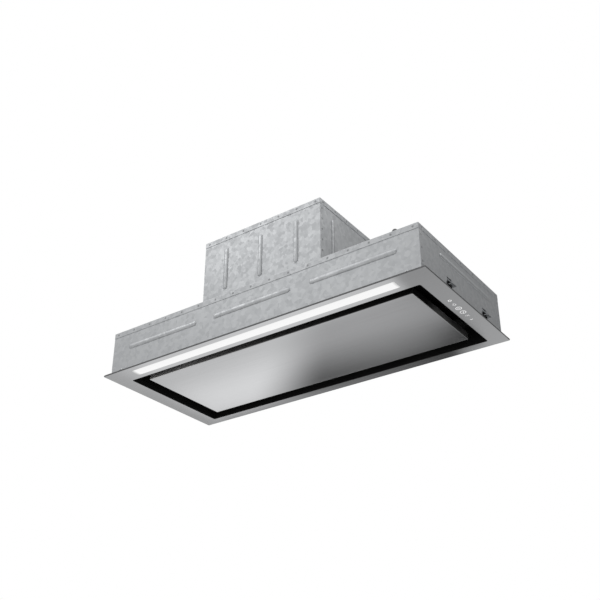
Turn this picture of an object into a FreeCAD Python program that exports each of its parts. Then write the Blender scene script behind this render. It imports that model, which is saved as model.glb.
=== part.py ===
import FreeCAD, Part
import math
import os

# Built-in range hood with a perimeter intake panel. Sizes are in millimetres.
# The origin is the middle of the seat plane, where the folded rim of the bezel meets the cabinet underside.
# +X is to the right, +Y to the rear and +Z up.

# Bezel: the folded stainless frame that shows below the cabinet
BEZEL_WIDTH = 860.0
BEZEL_DEPTH = 380.0
BEZEL_SHEET = 1.0
BEZEL_CORNER = 2.0
BEZEL_BEND = 0.8
RIM_HEIGHT = 3.0
SEAT_WIDTH = 10.0
SIDE_BORDER = 40.8
FRONT_BORDER = 53.5
REAR_BORDER = 25.0
OPENING_CORNER = 4.0

# Plenum shell inside the cabinet cut-out
SHELL_SHEET = 1.0
SHELL_GAP_SIDE = 4.0
SHELL_GAP_END = 1.0
PLENUM_BELOW_AXIS = 60.0
TAB_LENGTH = 24.0
TAB_FOOT = 7.0
TAB_HEIGHT = 14.0
TAB_SHEET = 1.2
TAB_SCREW_HEIGHT = 9.0
TAB_CORNER_GAP = 3.0

# Black intake surround and the plate that carries the filters
SURROUND_CLEARANCE = 0.2
SURROUND_WALL = 1.2
SURROUND_FOOT = 4.0
SURROUND_TOP_FLANGE = 10.0
SURROUND_DROP = 0.6
SURROUND_HEIGHT = 44.0
PLATE_SHEET = 1.2
PLATE_CLEARANCE = 0.3
PLATE_SCREW_INSET = 5.0

# Intake panel
PANEL_SIDE_GAP = 32.5
PANEL_FRONT_GAP = 25.2
PANEL_REAR_GAP = 27.5
PANEL_RECESS = 2.5
PANEL_SHEET = 1.0
PANEL_EDGE = 17.0
PANEL_CORNER = 2.0
PANEL_BEND = 1.5
STIFFENER_WIDTH = 24.0
STIFFENER_FOOT = 8.0
STIFFENER_HEIGHT = 6.0
STIFFENER_SHEET = 0.8
STIFFENER_INSET = 62.4
STIFFENER_END_GAP = 30.0

# Panel hinge and magnetic catch
HINGE_INSET = 106.0
HINGE_BACK = 5.5
HINGE_RISE = 2.5
HINGE_PIN_RADIUS = 2.0
HINGE_KNUCKLE_RADIUS = 4.0
HINGE_ARM_WIDTH = 8.0
HINGE_ARM_FOOT = 32.0
HINGE_ARM_WEB = 4.4
HINGE_EAR = 2.0
HINGE_EAR_HALF_HEIGHT = 4.5
HINGE_BASE_WIDTH = 34.0
HINGE_BASE_RISE = 14.0
HINGE_BASE_SHEET = 1.5
HINGE_SIDE_PLAY = 0.3
CATCH_INSET = 56.0
CATCH_SETBACK = 13.0
CATCH_WIDTH = 20.0
CATCH_DEPTH = 12.0
CATCH_HEIGHT = 10.0
CATCH_GAP = 0.3
CATCH_SHEET = 1.5
KEEPER_WIDTH = 24.0

# Grease filters
MULLION = 17.0
SIDE_RAIL = 36.3
FRONT_RAIL = 24.6
REAR_RAIL = 21.1
FILTER_CLEARANCE = 1.5
FILTER_HEIGHT = 9.0
FILTER_BELOW_PLATE = 4.5
FILTER_BORDER = 12.0
FILTER_CORNER = 6.0
MESH_CLEARANCE = 0.1
MESH_HEIGHT = 2.0
FILTER_TAB_WIDTH = 20.0
FILTER_TAB_REACH = 9.0
FILTER_TAB_SPREAD = 200.0
FILTER_TAB_SHEET = 1.3
FILTER_TAB_PLAY = 0.3
LATCH_CUP_WIDTH = 60.0
LATCH_CUP_DEPTH = 36.0
LATCH_CUP_WALL = 1.5
LATCH_TONGUE_WIDTH = 20.0
LATCH_TONGUE_REACH = 8.0
LATCH_TONGUE_BACK = 17.0
LATCH_PLAY = 0.25
LATCH_TAB = 2.0
LATCH_TAB_DROP = 3.5
LATCH_SPRING_RADIUS = 2.5
LATCH_SPRING_BORE = 1.8

# Light bar
LENS_END_INSET = 36.2
LENS_WIDTH = 26.0
LENS_CLEARANCE = 0.3
LENS_LIP = 0.5
LENS_LIP_HEIGHT = 1.5
LENS_CROWN = 1.2
CHANNEL_WALL = 1.2
CHANNEL_HEIGHT = 18.0
CHANNEL_LIP = 2.0
CHANNEL_CLEARANCE = 0.5
CHANNEL_OVERRUN = 4.0
LIGHT_BOARD_WIDTH = 20.0
LIGHT_BOARD_HEIGHT = 1.6
LIGHT_BOARD_INSET = 16.0
LIGHT_CHIP = 5.0
LIGHT_CHIP_HEIGHT = 0.9
LIGHT_CHIP_COUNT = 48
END_CAP = 3.0

# Touch controls
KEY_COUNT = 6
KEY_PITCH = 19.5
KEY_CENTRE_Y = 4.0
KEY_MARGIN = 7.0
TOUCH_CLEARANCE = 0.5
TOUCH_WALL = 1.5
TOUCH_HEIGHT = 14.0
TOUCH_BOARD_PLAY = 0.2
TOUCH_BOARD_HEIGHT = 1.6
TOUCH_LIGHT_HOLE = 1.5
TOUCH_LIGHT = 3.2
TOUCH_LIGHT_HEIGHT = 1.9

# Side fixings into the cabinet
FIXING_FRONT_INSET = 78.0
FIXING_REAR_INSET = 38.0
FIXING_HEIGHT = 12.0
FIXING_HOLE_RADIUS = 2.3
FIXING_BUSH_RADIUS = 5.0
CLAW_SPACING = 160.0
CLAW_CENTRE_Y = 20.0
CLAW_SETBACK = 5.0
CLAW_ROOT_HEIGHT = 37.0
CLAW_REACH = 15.0
CLAW_DROP = 16.0
CLAW_SHEET = 2.0
CLAW_WIDTH = 18.0
CLAW_FOOT = 9.0
CLAW_KNUCKLE_RADIUS = 3.5
CLAW_KNUCKLE_WIDTH = 12.0
CLAW_PIN_RADIUS = 1.5
CLAW_PLAY = 0.3
CLAW_WINDOW_MARGIN = 1.5
CLAW_EAR = 1.5
CLAW_BRACKET_BACK = 7.0
CLAW_BRACKET_HALF_HEIGHT = 6.0
CLAW_SPRING_RADIUS = 2.7
CLAW_SPRING_BORE = 1.7

# Blower: double-inlet scroll, impeller and motor on an axis along X
IMPELLER_RADIUS = 75.0
IMPELLER_HALF_WIDTH = 55.0
BLADE_DEPTH = 13.0
BLADE_SHEET = 1.4
BLADE_COUNT = 36
BLADE_CURVE = 9.0
IMPELLER_RING_LIP = 1.5
IMPELLER_RING_WIDTH = 3.0
IMPELLER_DISC = 3.0
HUB_RADIUS = 11.0
HUB_LENGTH = 14.0
SCROLL_GAP = 13.0
SCROLL_STEP = 13.0
SCROLL_SIDE_GAP = 4.0
SCROLL_WALL = 2.5
SCROLL_FLOOR_GAP = 11.5
SCROLL_INLET_RADIUS = 64.0
SCROLL_NECK = 37.5
SCROLL_FLANGE = 10.0
SCROLL_FLANGE_HEIGHT = 3.0
OUTLET_CENTRE_Y = 20.0
BOX_SHEET = 1.0
BOX_SIDE_ROOM = 102.5
BOX_FRONT_ROOM = 15.0
BOX_REAR_ROOM = 23.0
BOX_FOOT = 12.0
BOX_SCREW_INSET = 6.0
MOTOR_RADIUS = 42.0
MOTOR_WALL = 2.0
MOTOR_FRONT = 8.0
MOTOR_LENGTH = 58.0
MOTOR_CAP = 3.0
SHAFT_RADIUS = 4.0
SHAFT_PLAY = 0.05
FIT_PLAY = 0.02
BEARING_RADIUS = 11.0
BEARING_WIDTH = 7.0
BEARING_SEAT = 3.0
ROTOR_RADIUS = 21.0
ROTOR_LENGTH = 30.0
ROTOR_OFFSET = 16.0
AIR_GAP = 0.6
WINDING_DEPTH = 12.0
WINDING_LENGTH = 5.0
BRACKET_SHEET = 2.5
BRACKET_HUB_RADIUS = 30.0
BRACKET_ARM_WIDTH = 14.0
BRACKET_ARM_COUNT = 3
DAMPER_RADIUS = 6.0
DAMPER_CIRCLE_MARGIN = 10.0

# Outlet collar and non-return flaps
SPIGOT_RADIUS = 74.5
SPIGOT_WALL = 2.5
SPIGOT_HEIGHT = 45.0
COLLAR_BASE = 186.0
COLLAR_BASE_HEIGHT = 3.0
COLLAR_BASE_CORNER = 14.0
COLLAR_SCREW_INSET = 9.0
LEDGE_DEPTH = 3.0
LEDGE_HEIGHT = 2.0
LEDGE_RISE = 7.0
BAR_WIDTH = 10.0
BAR_HEIGHT = 5.0
FLAP_SHEET = 1.5
FLAP_PLAY = 1.0
FLAP_SEAT_PLAY = 0.2
FLAP_KNUCKLE_RADIUS = 3.5
FLAP_KNUCKLE_WIDTH = 20.0
FLAP_KNUCKLE_GAP = 5.0
FLAP_EDGE_GAP = 0.7
FLAP_PIN_RADIUS = 1.5
FLAP_PIN_EMBED = 1.2

# Electronics box on the plenum
CASE_GAP = 40.0
CASE_END_GAP = 41.0
CASE_DEPTH = 110.0
CASE_HEIGHT = 40.0
CASE_WALL = 2.0
CASE_CENTRE_Y = 0.0
LID_HEIGHT = 2.0
LID_OVERHANG = 2.0
BOARD_INSET = 6.0
BOARD_RISE = 6.0
BOARD_HEIGHT = 1.6
STANDOFF_RADIUS = 3.0
STANDOFF_INSET = 12.0
BOSS_INSET = 2.5
CAPACITOR_RADIUS = 12.0
CAPACITOR_LENGTH = 46.0
RELAY_COUNT = 3
RELAY_WIDTH = 12.0
RELAY_LENGTH = 20.0
RELAY_HEIGHT = 15.0
RELAY_PITCH = 17.0
TRANSFORMER_WIDTH = 34.0
TRANSFORMER_DEPTH = 28.0
TRANSFORMER_HEIGHT = 24.0
TERMINAL_WIDTH = 14.0
TERMINAL_DEPTH = 40.0
TERMINAL_HEIGHT = 18.0
GLAND_RADIUS = 9.0
GLAND_BORE = 4.5
GLAND_LENGTH = 16.0
GLAND_NUT_RADIUS = 11.0
GLAND_NUT_LENGTH = 5.0
GLAND_INSET = 25.0
GLAND_HEIGHT = 20.0
LEAD_RADIUS = 3.0
LEAD_HEIGHT = 22.0
LEAD_BEND = 18.0
LEAD_GRIP = 4.0
LIGHT_LEAD_INSET = 25.0
GROMMET_RADIUS = 6.5
GROMMET_LIP = 2.0
GROMMET_NECK = 4.6
GROMMET_PLAY = 0.05

# Screws
SCREW_RADIUS = 1.9
SCREW_HOLE_RADIUS = 2.0
SCREW_HEAD_RADIUS = 3.6
SCREW_HEAD_HEIGHT = 1.6
SCREW_LENGTH = 7.0
SCREW_RECESS = 0.8
SCREW_RECESS_WIDTH = 0.9
SCREW_RECESS_LENGTH = 4.0

# Planes and edges that pieces share
FACE_Z = -RIM_HEIGHT
BACK_Z = FACE_Z + BEZEL_SHEET
BEZEL_X = BEZEL_WIDTH / 2
BEZEL_Y = BEZEL_DEPTH / 2
OPEN_X = BEZEL_X - SIDE_BORDER
OPEN_Y0 = -BEZEL_Y + FRONT_BORDER
OPEN_Y1 = BEZEL_Y - REAR_BORDER
SHELL_X = BEZEL_X - SEAT_WIDTH - SHELL_GAP_SIDE
SHELL_Y = BEZEL_Y - SEAT_WIDTH - SHELL_GAP_END
SHELL_IN_X = SHELL_X - SHELL_SHEET
SHELL_IN_Y = SHELL_Y - SHELL_SHEET
SUR_X = OPEN_X - SURROUND_CLEARANCE
SUR_Y0 = OPEN_Y0 + SURROUND_CLEARANCE
SUR_Y1 = OPEN_Y1 - SURROUND_CLEARANCE
SUR_IN_X = SUR_X - SURROUND_WALL
SUR_IN_Y0 = SUR_Y0 + SURROUND_WALL
SUR_IN_Y1 = SUR_Y1 - SURROUND_WALL
PLATE_Z0 = SURROUND_HEIGHT
PLATE_Z1 = PLATE_Z0 + PLATE_SHEET
PANEL_X = OPEN_X - PANEL_SIDE_GAP
PANEL_Y0 = OPEN_Y0 + PANEL_FRONT_GAP
PANEL_Y1 = OPEN_Y1 - PANEL_REAR_GAP
PANEL_Z0 = FACE_Z + PANEL_RECESS
PANEL_FLOOR = PANEL_Z0 + PANEL_SHEET
PANEL_Z1 = PANEL_Z0 + PANEL_EDGE
HINGE_X = PANEL_X - HINGE_INSET
HINGE_Y = PANEL_Y1 + HINGE_BACK
HINGE_Z = PANEL_Z1 + HINGE_RISE
CATCH_X = PANEL_X - CATCH_INSET
CATCH_Y = PANEL_Y0 + CATCH_SETBACK
WINDOW_X0 = MULLION / 2
WINDOW_X1 = SUR_IN_X - SIDE_RAIL
WINDOW_Y0 = SUR_IN_Y0 + FRONT_RAIL
WINDOW_Y1 = SUR_IN_Y1 - REAR_RAIL
FILTER_X0 = WINDOW_X0 + FILTER_CLEARANCE
FILTER_X1 = WINDOW_X1 - FILTER_CLEARANCE
FILTER_Y0 = WINDOW_Y0 + FILTER_CLEARANCE
FILTER_Y1 = WINDOW_Y1 - FILTER_CLEARANCE
FILTER_X = (FILTER_X0 + FILTER_X1) / 2
FILTER_Z0 = PLATE_Z0 - FILTER_BELOW_PLATE
FILTER_Z1 = FILTER_Z0 + FILTER_HEIGHT
TONGUE_Z0 = PLATE_Z1 + FILTER_TAB_PLAY
TONGUE_Z1 = TONGUE_Z0 + FILTER_TAB_SHEET
CHANNEL_Y0 = -SHELL_IN_Y + CHANNEL_CLEARANCE
LENS_Y0 = CHANNEL_Y0 + CHANNEL_LIP
LENS_Y1 = LENS_Y0 + LENS_WIDTH
LENS_Y = (LENS_Y0 + LENS_Y1) / 2
CHANNEL_Y1 = LENS_Y1 + CHANNEL_LIP
CHANNEL_Z1 = BACK_Z + CHANNEL_HEIGHT
LENS_X = OPEN_X - LENS_END_INSET
CHANNEL_X = LENS_X + CHANNEL_OVERRUN
TOUCH_X0 = SUR_X + SURROUND_FOOT + TOUCH_CLEARANCE
TOUCH_X1 = SHELL_IN_X - TOUCH_CLEARANCE
TOUCH_X = (TOUCH_X0 + TOUCH_X1) / 2
TOUCH_HALF = KEY_COUNT * KEY_PITCH / 2 + KEY_MARGIN
KEY_YS = [KEY_CENTRE_Y + (i - (KEY_COUNT - 1) / 2) * KEY_PITCH for i in range(KEY_COUNT)]
FIXING_YS = [-SHELL_IN_Y + FIXING_FRONT_INSET, SHELL_IN_Y - FIXING_REAR_INSET]
CLAW_YS = [CLAW_CENTRE_Y - CLAW_SPACING / 2, CLAW_CENTRE_Y + CLAW_SPACING / 2]
SCROLL_R1 = IMPELLER_RADIUS + SCROLL_GAP
SCROLL_R2 = SCROLL_R1 + SCROLL_STEP
SCROLL_R3 = SCROLL_R2 + SCROLL_STEP
SCROLL_C = SCROLL_STEP / 2
SCROLL_IN_X = IMPELLER_HALF_WIDTH + SCROLL_SIDE_GAP
SCROLL_X = SCROLL_IN_X + SCROLL_WALL
AXIS_Y = OUTLET_CENTRE_Y - SCROLL_R3 / 2
AXIS_Z = FILTER_Z1 + SCROLL_FLOOR_GAP + SCROLL_WALL + SCROLL_R2 + SCROLL_C
PLENUM_HEIGHT = AXIS_Z - PLENUM_BELOW_AXIS
SCROLL_TOP = AXIS_Z + SCROLL_R1 - SCROLL_C + SCROLL_NECK
BOX_TOP = SCROLL_TOP + BOX_SHEET
BOX_X = SCROLL_X + BOX_SIDE_ROOM + BOX_SHEET
BOX_Y0 = AXIS_Y - SCROLL_C - SCROLL_R1 - SCROLL_WALL - BOX_FRONT_ROOM - BOX_SHEET
BOX_Y1 = AXIS_Y + SCROLL_C + SCROLL_R3 + SCROLL_WALL + BOX_REAR_ROOM + BOX_SHEET
SPIGOT_BORE = SPIGOT_RADIUS - SPIGOT_WALL
LEDGE_TOP = BOX_TOP + LEDGE_RISE + LEDGE_HEIGHT
FLAP_Z0 = LEDGE_TOP + FLAP_SEAT_PLAY
FLAP_AXIS_Z = FLAP_Z0 + FLAP_KNUCKLE_RADIUS
FLAP_RADIUS = SPIGOT_BORE - FLAP_PLAY
CASE_X0 = BOX_X + CASE_GAP
CASE_X1 = SHELL_X - CASE_END_GAP
CASE_Y0 = CASE_CENTRE_Y - CASE_DEPTH / 2
CASE_Y1 = CASE_CENTRE_Y + CASE_DEPTH / 2
GLAND_Y = CASE_Y0 + GLAND_INSET
CASE_TOP = PLENUM_HEIGHT + CASE_HEIGHT
CASE_FLOOR = PLENUM_HEIGHT + CASE_WALL
BOARD_Z0 = CASE_FLOOR + BOARD_RISE
BOARD_Z1 = BOARD_Z0 + BOARD_HEIGHT
LEAD_Z = PLENUM_HEIGHT + LEAD_HEIGHT
MOTOR_REAR = MOTOR_FRONT + MOTOR_LENGTH
MOTOR_END = MOTOR_REAR + MOTOR_CAP
DAMPER_CIRCLE = SCROLL_INLET_RADIUS + DAMPER_CIRCLE_MARGIN
SIDES = (-1, 1)


def v(x, y, z):
    return FreeCAD.Vector(x, y, z)


def block(x0, x1, y0, y1, z0, z1):
    return Part.makeBox(x1 - x0, y1 - y0, z1 - z0, v(x0, y0, z0))


def mirrored_block(side, x0, x1, y0, y1, z0, z1):
    # A block between two distances from the middle plane, on the left (-1) or the right (1)
    low, high = sorted((side * x0, side * x1))
    return block(low, high, y0, y1, z0, z1)


def rounded_block(x0, x1, y0, y1, z0, z1, corner, bend=0.0):
    # A block with rounded upright edges and, where a bend is given, rounded lower edges
    solid = block(x0, x1, y0, y1, z0, z1)
    upright = [e for e in solid.Edges if e.BoundBox.ZLength > (z1 - z0) / 2]
    solid = solid.makeFillet(corner, upright)
    if bend > 0:
        low = [e for e in solid.Edges if e.BoundBox.ZMax < z0 + (z1 - z0) / 100]
        solid = solid.makeFillet(bend, low)
    return solid


def rod(radius, start, end):
    along = v(*end) - v(*start)
    return Part.makeCylinder(radius, along.Length, v(*start), along)


def pipe(outer, bore, start, end):
    return rod(outer, start, end).cut(rod(bore, start, end))


def prism_x(points, x0, x1):
    wire = Part.makePolygon([v(x0, y, z) for y, z in points] + [v(x0, *points[0])])
    return Part.Face(wire).extrude(v(x1 - x0, 0, 0))


def prism_y(points, y0, y1):
    wire = Part.makePolygon([v(x, y0, z) for x, z in points] + [v(points[0][0], y0, points[0][1])])
    return Part.Face(wire).extrude(v(0, y1 - y0, 0))


def screw(position, direction):
    # A pan-head screw: the head sits on the given point and the shank runs along the direction
    head = Part.makeCylinder(SCREW_HEAD_RADIUS, SCREW_HEAD_HEIGHT, v(0, 0, -SCREW_HEAD_HEIGHT))
    shank = Part.makeCylinder(SCREW_RADIUS, SCREW_LENGTH)
    solid = head.fuse(shank)
    half = SCREW_RECESS_LENGTH / 2
    wide = SCREW_RECESS_WIDTH / 2
    low = -SCREW_HEAD_HEIGHT
    cross = block(-half, half, -wide, wide, low, low + SCREW_RECESS)
    cross = cross.fuse(block(-wide, wide, -half, half, low, low + SCREW_RECESS))
    solid = solid.cut(cross)
    solid.Placement = FreeCAD.Placement(v(*position), FreeCAD.Rotation(v(0, 0, 1), v(*direction)))
    return solid


def screw_hole(position, direction):
    # The clearance hole for a screw, cut through what lies within the length of its shank
    along = v(*direction)
    return Part.makeCylinder(SCREW_HOLE_RADIUS, SCREW_LENGTH, v(*position), along)


def lead(points):
    # A round lead along straight runs joined by tangent arcs
    corners = [v(*p) for p in points]
    edges = []
    start = corners[0]
    for before, here, after in zip(corners, corners[1:], corners[2:]):
        a = (before - here).normalize()
        b = (after - here).normalize()
        half = a.getAngle(b) / 2
        reach = min(LEAD_BEND / math.tan(half), 0.45 * (before - here).Length, 0.45 * (after - here).Length)
        radius = reach * math.tan(half)
        first = here + a * reach
        last = here + b * reach
        middle = here + (a + b).normalize() * (radius / math.sin(half) - radius)
        edges.append(Part.LineSegment(start, first).toShape())
        edges.append(Part.Arc(first, middle, last).toShape())
        start = last
    edges.append(Part.LineSegment(start, corners[-1]).toShape())
    path = Part.Wire(edges)
    section = Part.Wire(Part.makeCircle(LEAD_RADIUS, corners[0], corners[1] - corners[0]))
    return path.makePipeShell([section], True, False)


def grommet(position, direction, wall):
    # A rubber ring seated in a sheet: lips on both faces and a neck in the hole
    out = v(*direction)
    face = v(*position)
    lips = Part.makeCylinder(GROMMET_RADIUS, GROMMET_LIP, face, out)
    lips = lips.fuse(Part.makeCylinder(GROMMET_RADIUS, GROMMET_LIP, face - out * (wall + GROMMET_LIP), out))
    neck = Part.makeCylinder(GROMMET_NECK - GROMMET_PLAY, wall, face - out * wall, out)
    bore = Part.makeCylinder(
        LEAD_RADIUS + GROMMET_PLAY, wall + 2 * GROMMET_LIP, face - out * (wall + GROMMET_LIP), out
    )
    return lips.fuse(neck).cut(bore)


def grommet_hole(position, direction, wall):
    out = v(*direction)
    return Part.makeCylinder(GROMMET_NECK, wall, v(*position) - out * wall, out)


def arc_points(centre, radius, start, end):
    # Start, middle and end of an arc in the YZ plane, with angles in degrees from +Y
    found = []
    for angle in (start, (start + end) / 2, end):
        turn = math.radians(angle)
        found.append((centre[0] + radius * math.cos(turn), centre[1] + radius * math.sin(turn)))
    return found


def scroll_prism(wall, x0, x1, top):
    # The volute grown by a wall: three quarter arcs on a square of centres, then a straight neck up to the outlet
    c = SCROLL_C
    neck_y = AXIS_Y - c - wall
    outer_y = AXIS_Y + c + SCROLL_R3 + wall
    r1 = SCROLL_R1 + wall
    begin = 90.0
    if wall > 0:
        begin = 90.0 + math.degrees(math.asin(wall / r1))
    arcs = [
        arc_points((AXIS_Y - c, AXIS_Z - c), r1, begin, 180.0),
        arc_points((AXIS_Y + c, AXIS_Z - c), SCROLL_R2 + wall, 180.0, 270.0),
        arc_points((AXIS_Y + c, AXIS_Z + c), SCROLL_R3 + wall, 270.0, 360.0),
    ]
    edges = [Part.Arc(*[v(x0, y, z) for y, z in arc]).toShape() for arc in arcs]
    outline = [arcs[2][2], (outer_y, top), (neck_y, top), arcs[0][0]]
    for a, b in zip(outline, outline[1:]):
        edges.append(Part.LineSegment(v(x0, *a), v(x0, *b)).toShape())
    return Part.Face(Part.Wire(edges)).extrude(v(x1 - x0, 0, 0))


def scroll_half(side):
    low, high = sorted((0.0, side * SCROLL_X))
    shell = scroll_prism(SCROLL_WALL, low, high, SCROLL_TOP)
    flange_y0 = AXIS_Y - SCROLL_C - SCROLL_WALL - SCROLL_FLANGE
    flange_y1 = AXIS_Y + SCROLL_C + SCROLL_R3 + SCROLL_WALL + SCROLL_FLANGE
    flange = mirrored_block(
        side, 0.0, SCROLL_X + SCROLL_FLANGE, flange_y0, flange_y1, SCROLL_TOP - SCROLL_FLANGE_HEIGHT, SCROLL_TOP
    )
    shell = shell.fuse(flange)
    low, high = sorted((0.0, side * SCROLL_IN_X))
    shell = shell.cut(scroll_prism(0.0, low, high, SCROLL_TOP))
    inlet = rod(SCROLL_INLET_RADIUS, (side * SCROLL_IN_X, AXIS_Y, AXIS_Z), (side * SCROLL_X, AXIS_Y, AXIS_Z))
    return shell.cut(inlet)


def around_axis(index, count, radius):
    # A point of a circle about the impeller axis, as Y and Z
    turn = math.radians(90.0) + 2 * math.pi * index / count
    return AXIS_Y + radius * math.cos(turn), AXIS_Z + radius * math.sin(turn)


def blade():
    # One forward-curved blade of even thickness between two arcs, along the whole impeller
    inner = IMPELLER_RADIUS - BLADE_DEPTH
    middle = IMPELLER_RADIUS - BLADE_DEPTH / 2
    lean = BLADE_DEPTH / BLADE_CURVE
    front = [(0.0, inner), (-lean, middle), (lean, IMPELLER_RADIUS)]
    back = [(y + BLADE_SHEET, z) for y, z in front]
    x0 = -IMPELLER_HALF_WIDTH
    edges = [
        Part.Arc(*[v(x0, AXIS_Y + y, AXIS_Z + z) for y, z in front]).toShape(),
        Part.Arc(*[v(x0, AXIS_Y + y, AXIS_Z + z) for y, z in back]).toShape(),
    ]
    for a, b in ((front[0], back[0]), (front[2], back[2])):
        start = v(x0, AXIS_Y + a[0], AXIS_Z + a[1])
        edges.append(Part.LineSegment(start, v(x0, AXIS_Y + b[0], AXIS_Z + b[1])).toShape())
    face = Part.Face(Part.Wire(Part.__sortEdges__(edges)))
    return face.extrude(v(2 * IMPELLER_HALF_WIDTH, 0, 0))


nodes = {}


def keep(name, *shapes):
    # Adds the solids to a node; each solid stays a piece of its own
    for shape in shapes:
        nodes.setdefault(name, []).extend(shape.Solids)


# Bezel: sheet face, rim and the return that seats on the cabinet
bezel = rounded_block(-BEZEL_X, BEZEL_X, -BEZEL_Y, BEZEL_Y, FACE_Z, 0.0, BEZEL_CORNER, BEZEL_BEND)
fold_x = BEZEL_X - BEZEL_SHEET
fold_y = BEZEL_Y - BEZEL_SHEET
bezel = bezel.cut(block(-fold_x, fold_x, -fold_y, fold_y, BACK_Z, -BEZEL_SHEET))
seat_x = BEZEL_X - SEAT_WIDTH
seat_y = BEZEL_Y - SEAT_WIDTH
bezel = bezel.cut(block(-seat_x, seat_x, -seat_y, seat_y, -BEZEL_SHEET, 0.0))
bezel = bezel.cut(rounded_block(-OPEN_X, OPEN_X, OPEN_Y0, OPEN_Y1, FACE_Z, BACK_Z, OPENING_CORNER))
bezel = bezel.cut(block(-LENS_X, LENS_X, LENS_Y0, LENS_Y1, FACE_Z, BACK_Z))
keep("bezel", bezel)

# Tabs welded behind the bezel, with a screw through the shell into each
corner_y = SHELL_IN_Y - TAB_CORNER_GAP - TAB_LENGTH / 2
tab_places = []
for side in SIDES:
    tab_places.append((side * (CHANNEL_X + END_CAP + TAB_LENGTH), -SHELL_IN_Y, 0, -1))
    tab_places.append((side * HINGE_X, SHELL_IN_Y, 0, 1))
    tab_places.append((side * SHELL_IN_X, -corner_y, side, 0))
    tab_places.append((side * SHELL_IN_X, corner_y, side, 0))
tabs = []
tab_screws = []
tab_holes = []
for x, y, out_x, out_y in tab_places:
    half = TAB_LENGTH / 2
    tab = block(-half, half, -TAB_FOOT, 0.0, 0.0, TAB_SHEET)
    tab = tab.fuse(block(-half, half, -TAB_SHEET, 0.0, 0.0, TAB_HEIGHT))
    turn = math.degrees(math.atan2(out_y, out_x)) - 90.0
    tab.Placement = FreeCAD.Placement(v(x, y, BACK_Z), FreeCAD.Rotation(v(0, 0, 1), turn))
    outside = (x + out_x * SHELL_SHEET, y + out_y * SHELL_SHEET, BACK_Z + TAB_SCREW_HEIGHT)
    inward = (-out_x, -out_y, 0)
    tab_holes.append(screw_hole(outside, inward))
    tab_screws.append(screw(outside, inward))
    tabs.append(tab.cut(tab_holes[-1]))
keep("shell_brackets", *tabs)

# Places where leads pass a sheet
light_lead_x = CASE_X1 - LIGHT_LEAD_INSET
touch_lead_y = KEY_CENTRE_Y + KEY_PITCH
motor_lead_y = AXIS_Y
motor_lead_z = AXIS_Z - (BRACKET_HUB_RADIUS + MOTOR_RADIUS) / 2
light_pass = (light_lead_x, LENS_Y, PLENUM_HEIGHT)
touch_pass = (TOUCH_X, touch_lead_y, PLENUM_HEIGHT)
motor_pass = (BOX_X, motor_lead_y, motor_lead_z)

# Plenum shell: four walls and a top with the blower opening
shell = block(-SHELL_X, SHELL_X, -SHELL_Y, SHELL_Y, BACK_Z, PLENUM_HEIGHT)
shell = shell.cut(
    block(-SHELL_IN_X, SHELL_IN_X, -SHELL_IN_Y, SHELL_IN_Y, BACK_Z, PLENUM_HEIGHT - SHELL_SHEET)
)
box_in_x = BOX_X - BOX_SHEET
box_in_y0 = BOX_Y0 + BOX_SHEET
box_in_y1 = BOX_Y1 - BOX_SHEET
top_z = PLENUM_HEIGHT - SHELL_SHEET
shell = shell.cut(block(-box_in_x, box_in_x, box_in_y0, box_in_y1, top_z, PLENUM_HEIGHT))
claw_half = CLAW_WIDTH / 2 + CLAW_WINDOW_MARGIN
claw_sweep = math.hypot(CLAW_REACH + CLAW_SHEET, CLAW_DROP + CLAW_SHEET)
claw_z0 = CLAW_ROOT_HEIGHT - claw_sweep - CLAW_WINDOW_MARGIN
claw_z1 = CLAW_ROOT_HEIGHT + CLAW_WINDOW_MARGIN
for side in SIDES:
    for y in CLAW_YS:
        shell = shell.cut(
            mirrored_block(side, SHELL_IN_X, SHELL_X, y - claw_half, y + claw_half, claw_z0, claw_z1)
        )
    for y in FIXING_YS:
        shell = shell.cut(
            rod(FIXING_HOLE_RADIUS, (side * SHELL_IN_X, y, FIXING_HEIGHT), (side * SHELL_X, y, FIXING_HEIGHT))
        )
for hole in tab_holes:
    shell = shell.cut(hole)
shell = shell.cut(grommet_hole(light_pass, (0, 0, 1), SHELL_SHEET))
shell = shell.cut(grommet_hole(touch_pass, (0, 0, 1), SHELL_SHEET))

# Intake surround: black walls round the recess, with a foot on the bezel and a flange under the filter plate
surround = rounded_block(-SUR_X, SUR_X, SUR_Y0, SUR_Y1, BACK_Z - SURROUND_DROP, SURROUND_HEIGHT, OPENING_CORNER)
foot = rounded_block(
    -SUR_X - SURROUND_FOOT, SUR_X + SURROUND_FOOT, SUR_Y0 - SURROUND_FOOT, SUR_Y1 + SURROUND_FOOT,
    BACK_Z, BACK_Z + SURROUND_WALL, OPENING_CORNER,
)
flange_x = SUR_X + SURROUND_TOP_FLANGE
flange_y0 = SUR_Y0 - SURROUND_TOP_FLANGE
flange_y1 = SUR_Y1 + SURROUND_TOP_FLANGE
top_flange = rounded_block(
    -flange_x, flange_x, flange_y0, flange_y1, SURROUND_HEIGHT - SURROUND_WALL, SURROUND_HEIGHT, OPENING_CORNER
)
surround = surround.fuse(foot).fuse(top_flange)
surround = surround.cut(
    rounded_block(
        -SUR_IN_X, SUR_IN_X, SUR_IN_Y0, SUR_IN_Y1, BACK_Z - SURROUND_DROP, SURROUND_HEIGHT,
        OPENING_CORNER - SURROUND_WALL,
    )
)
bushes = []
for side in SIDES:
    for y in FIXING_YS:
        inner = (side * SUR_IN_X, y, FIXING_HEIGHT)
        wall = (side * SUR_X, y, FIXING_HEIGHT)
        outer = (side * SHELL_IN_X, y, FIXING_HEIGHT)
        surround = surround.cut(rod(FIXING_HOLE_RADIUS, inner, wall))
        bushes.append(pipe(FIXING_BUSH_RADIUS, FIXING_HOLE_RADIUS, wall, outer))
keep("fixing_bushes", *bushes)

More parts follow.
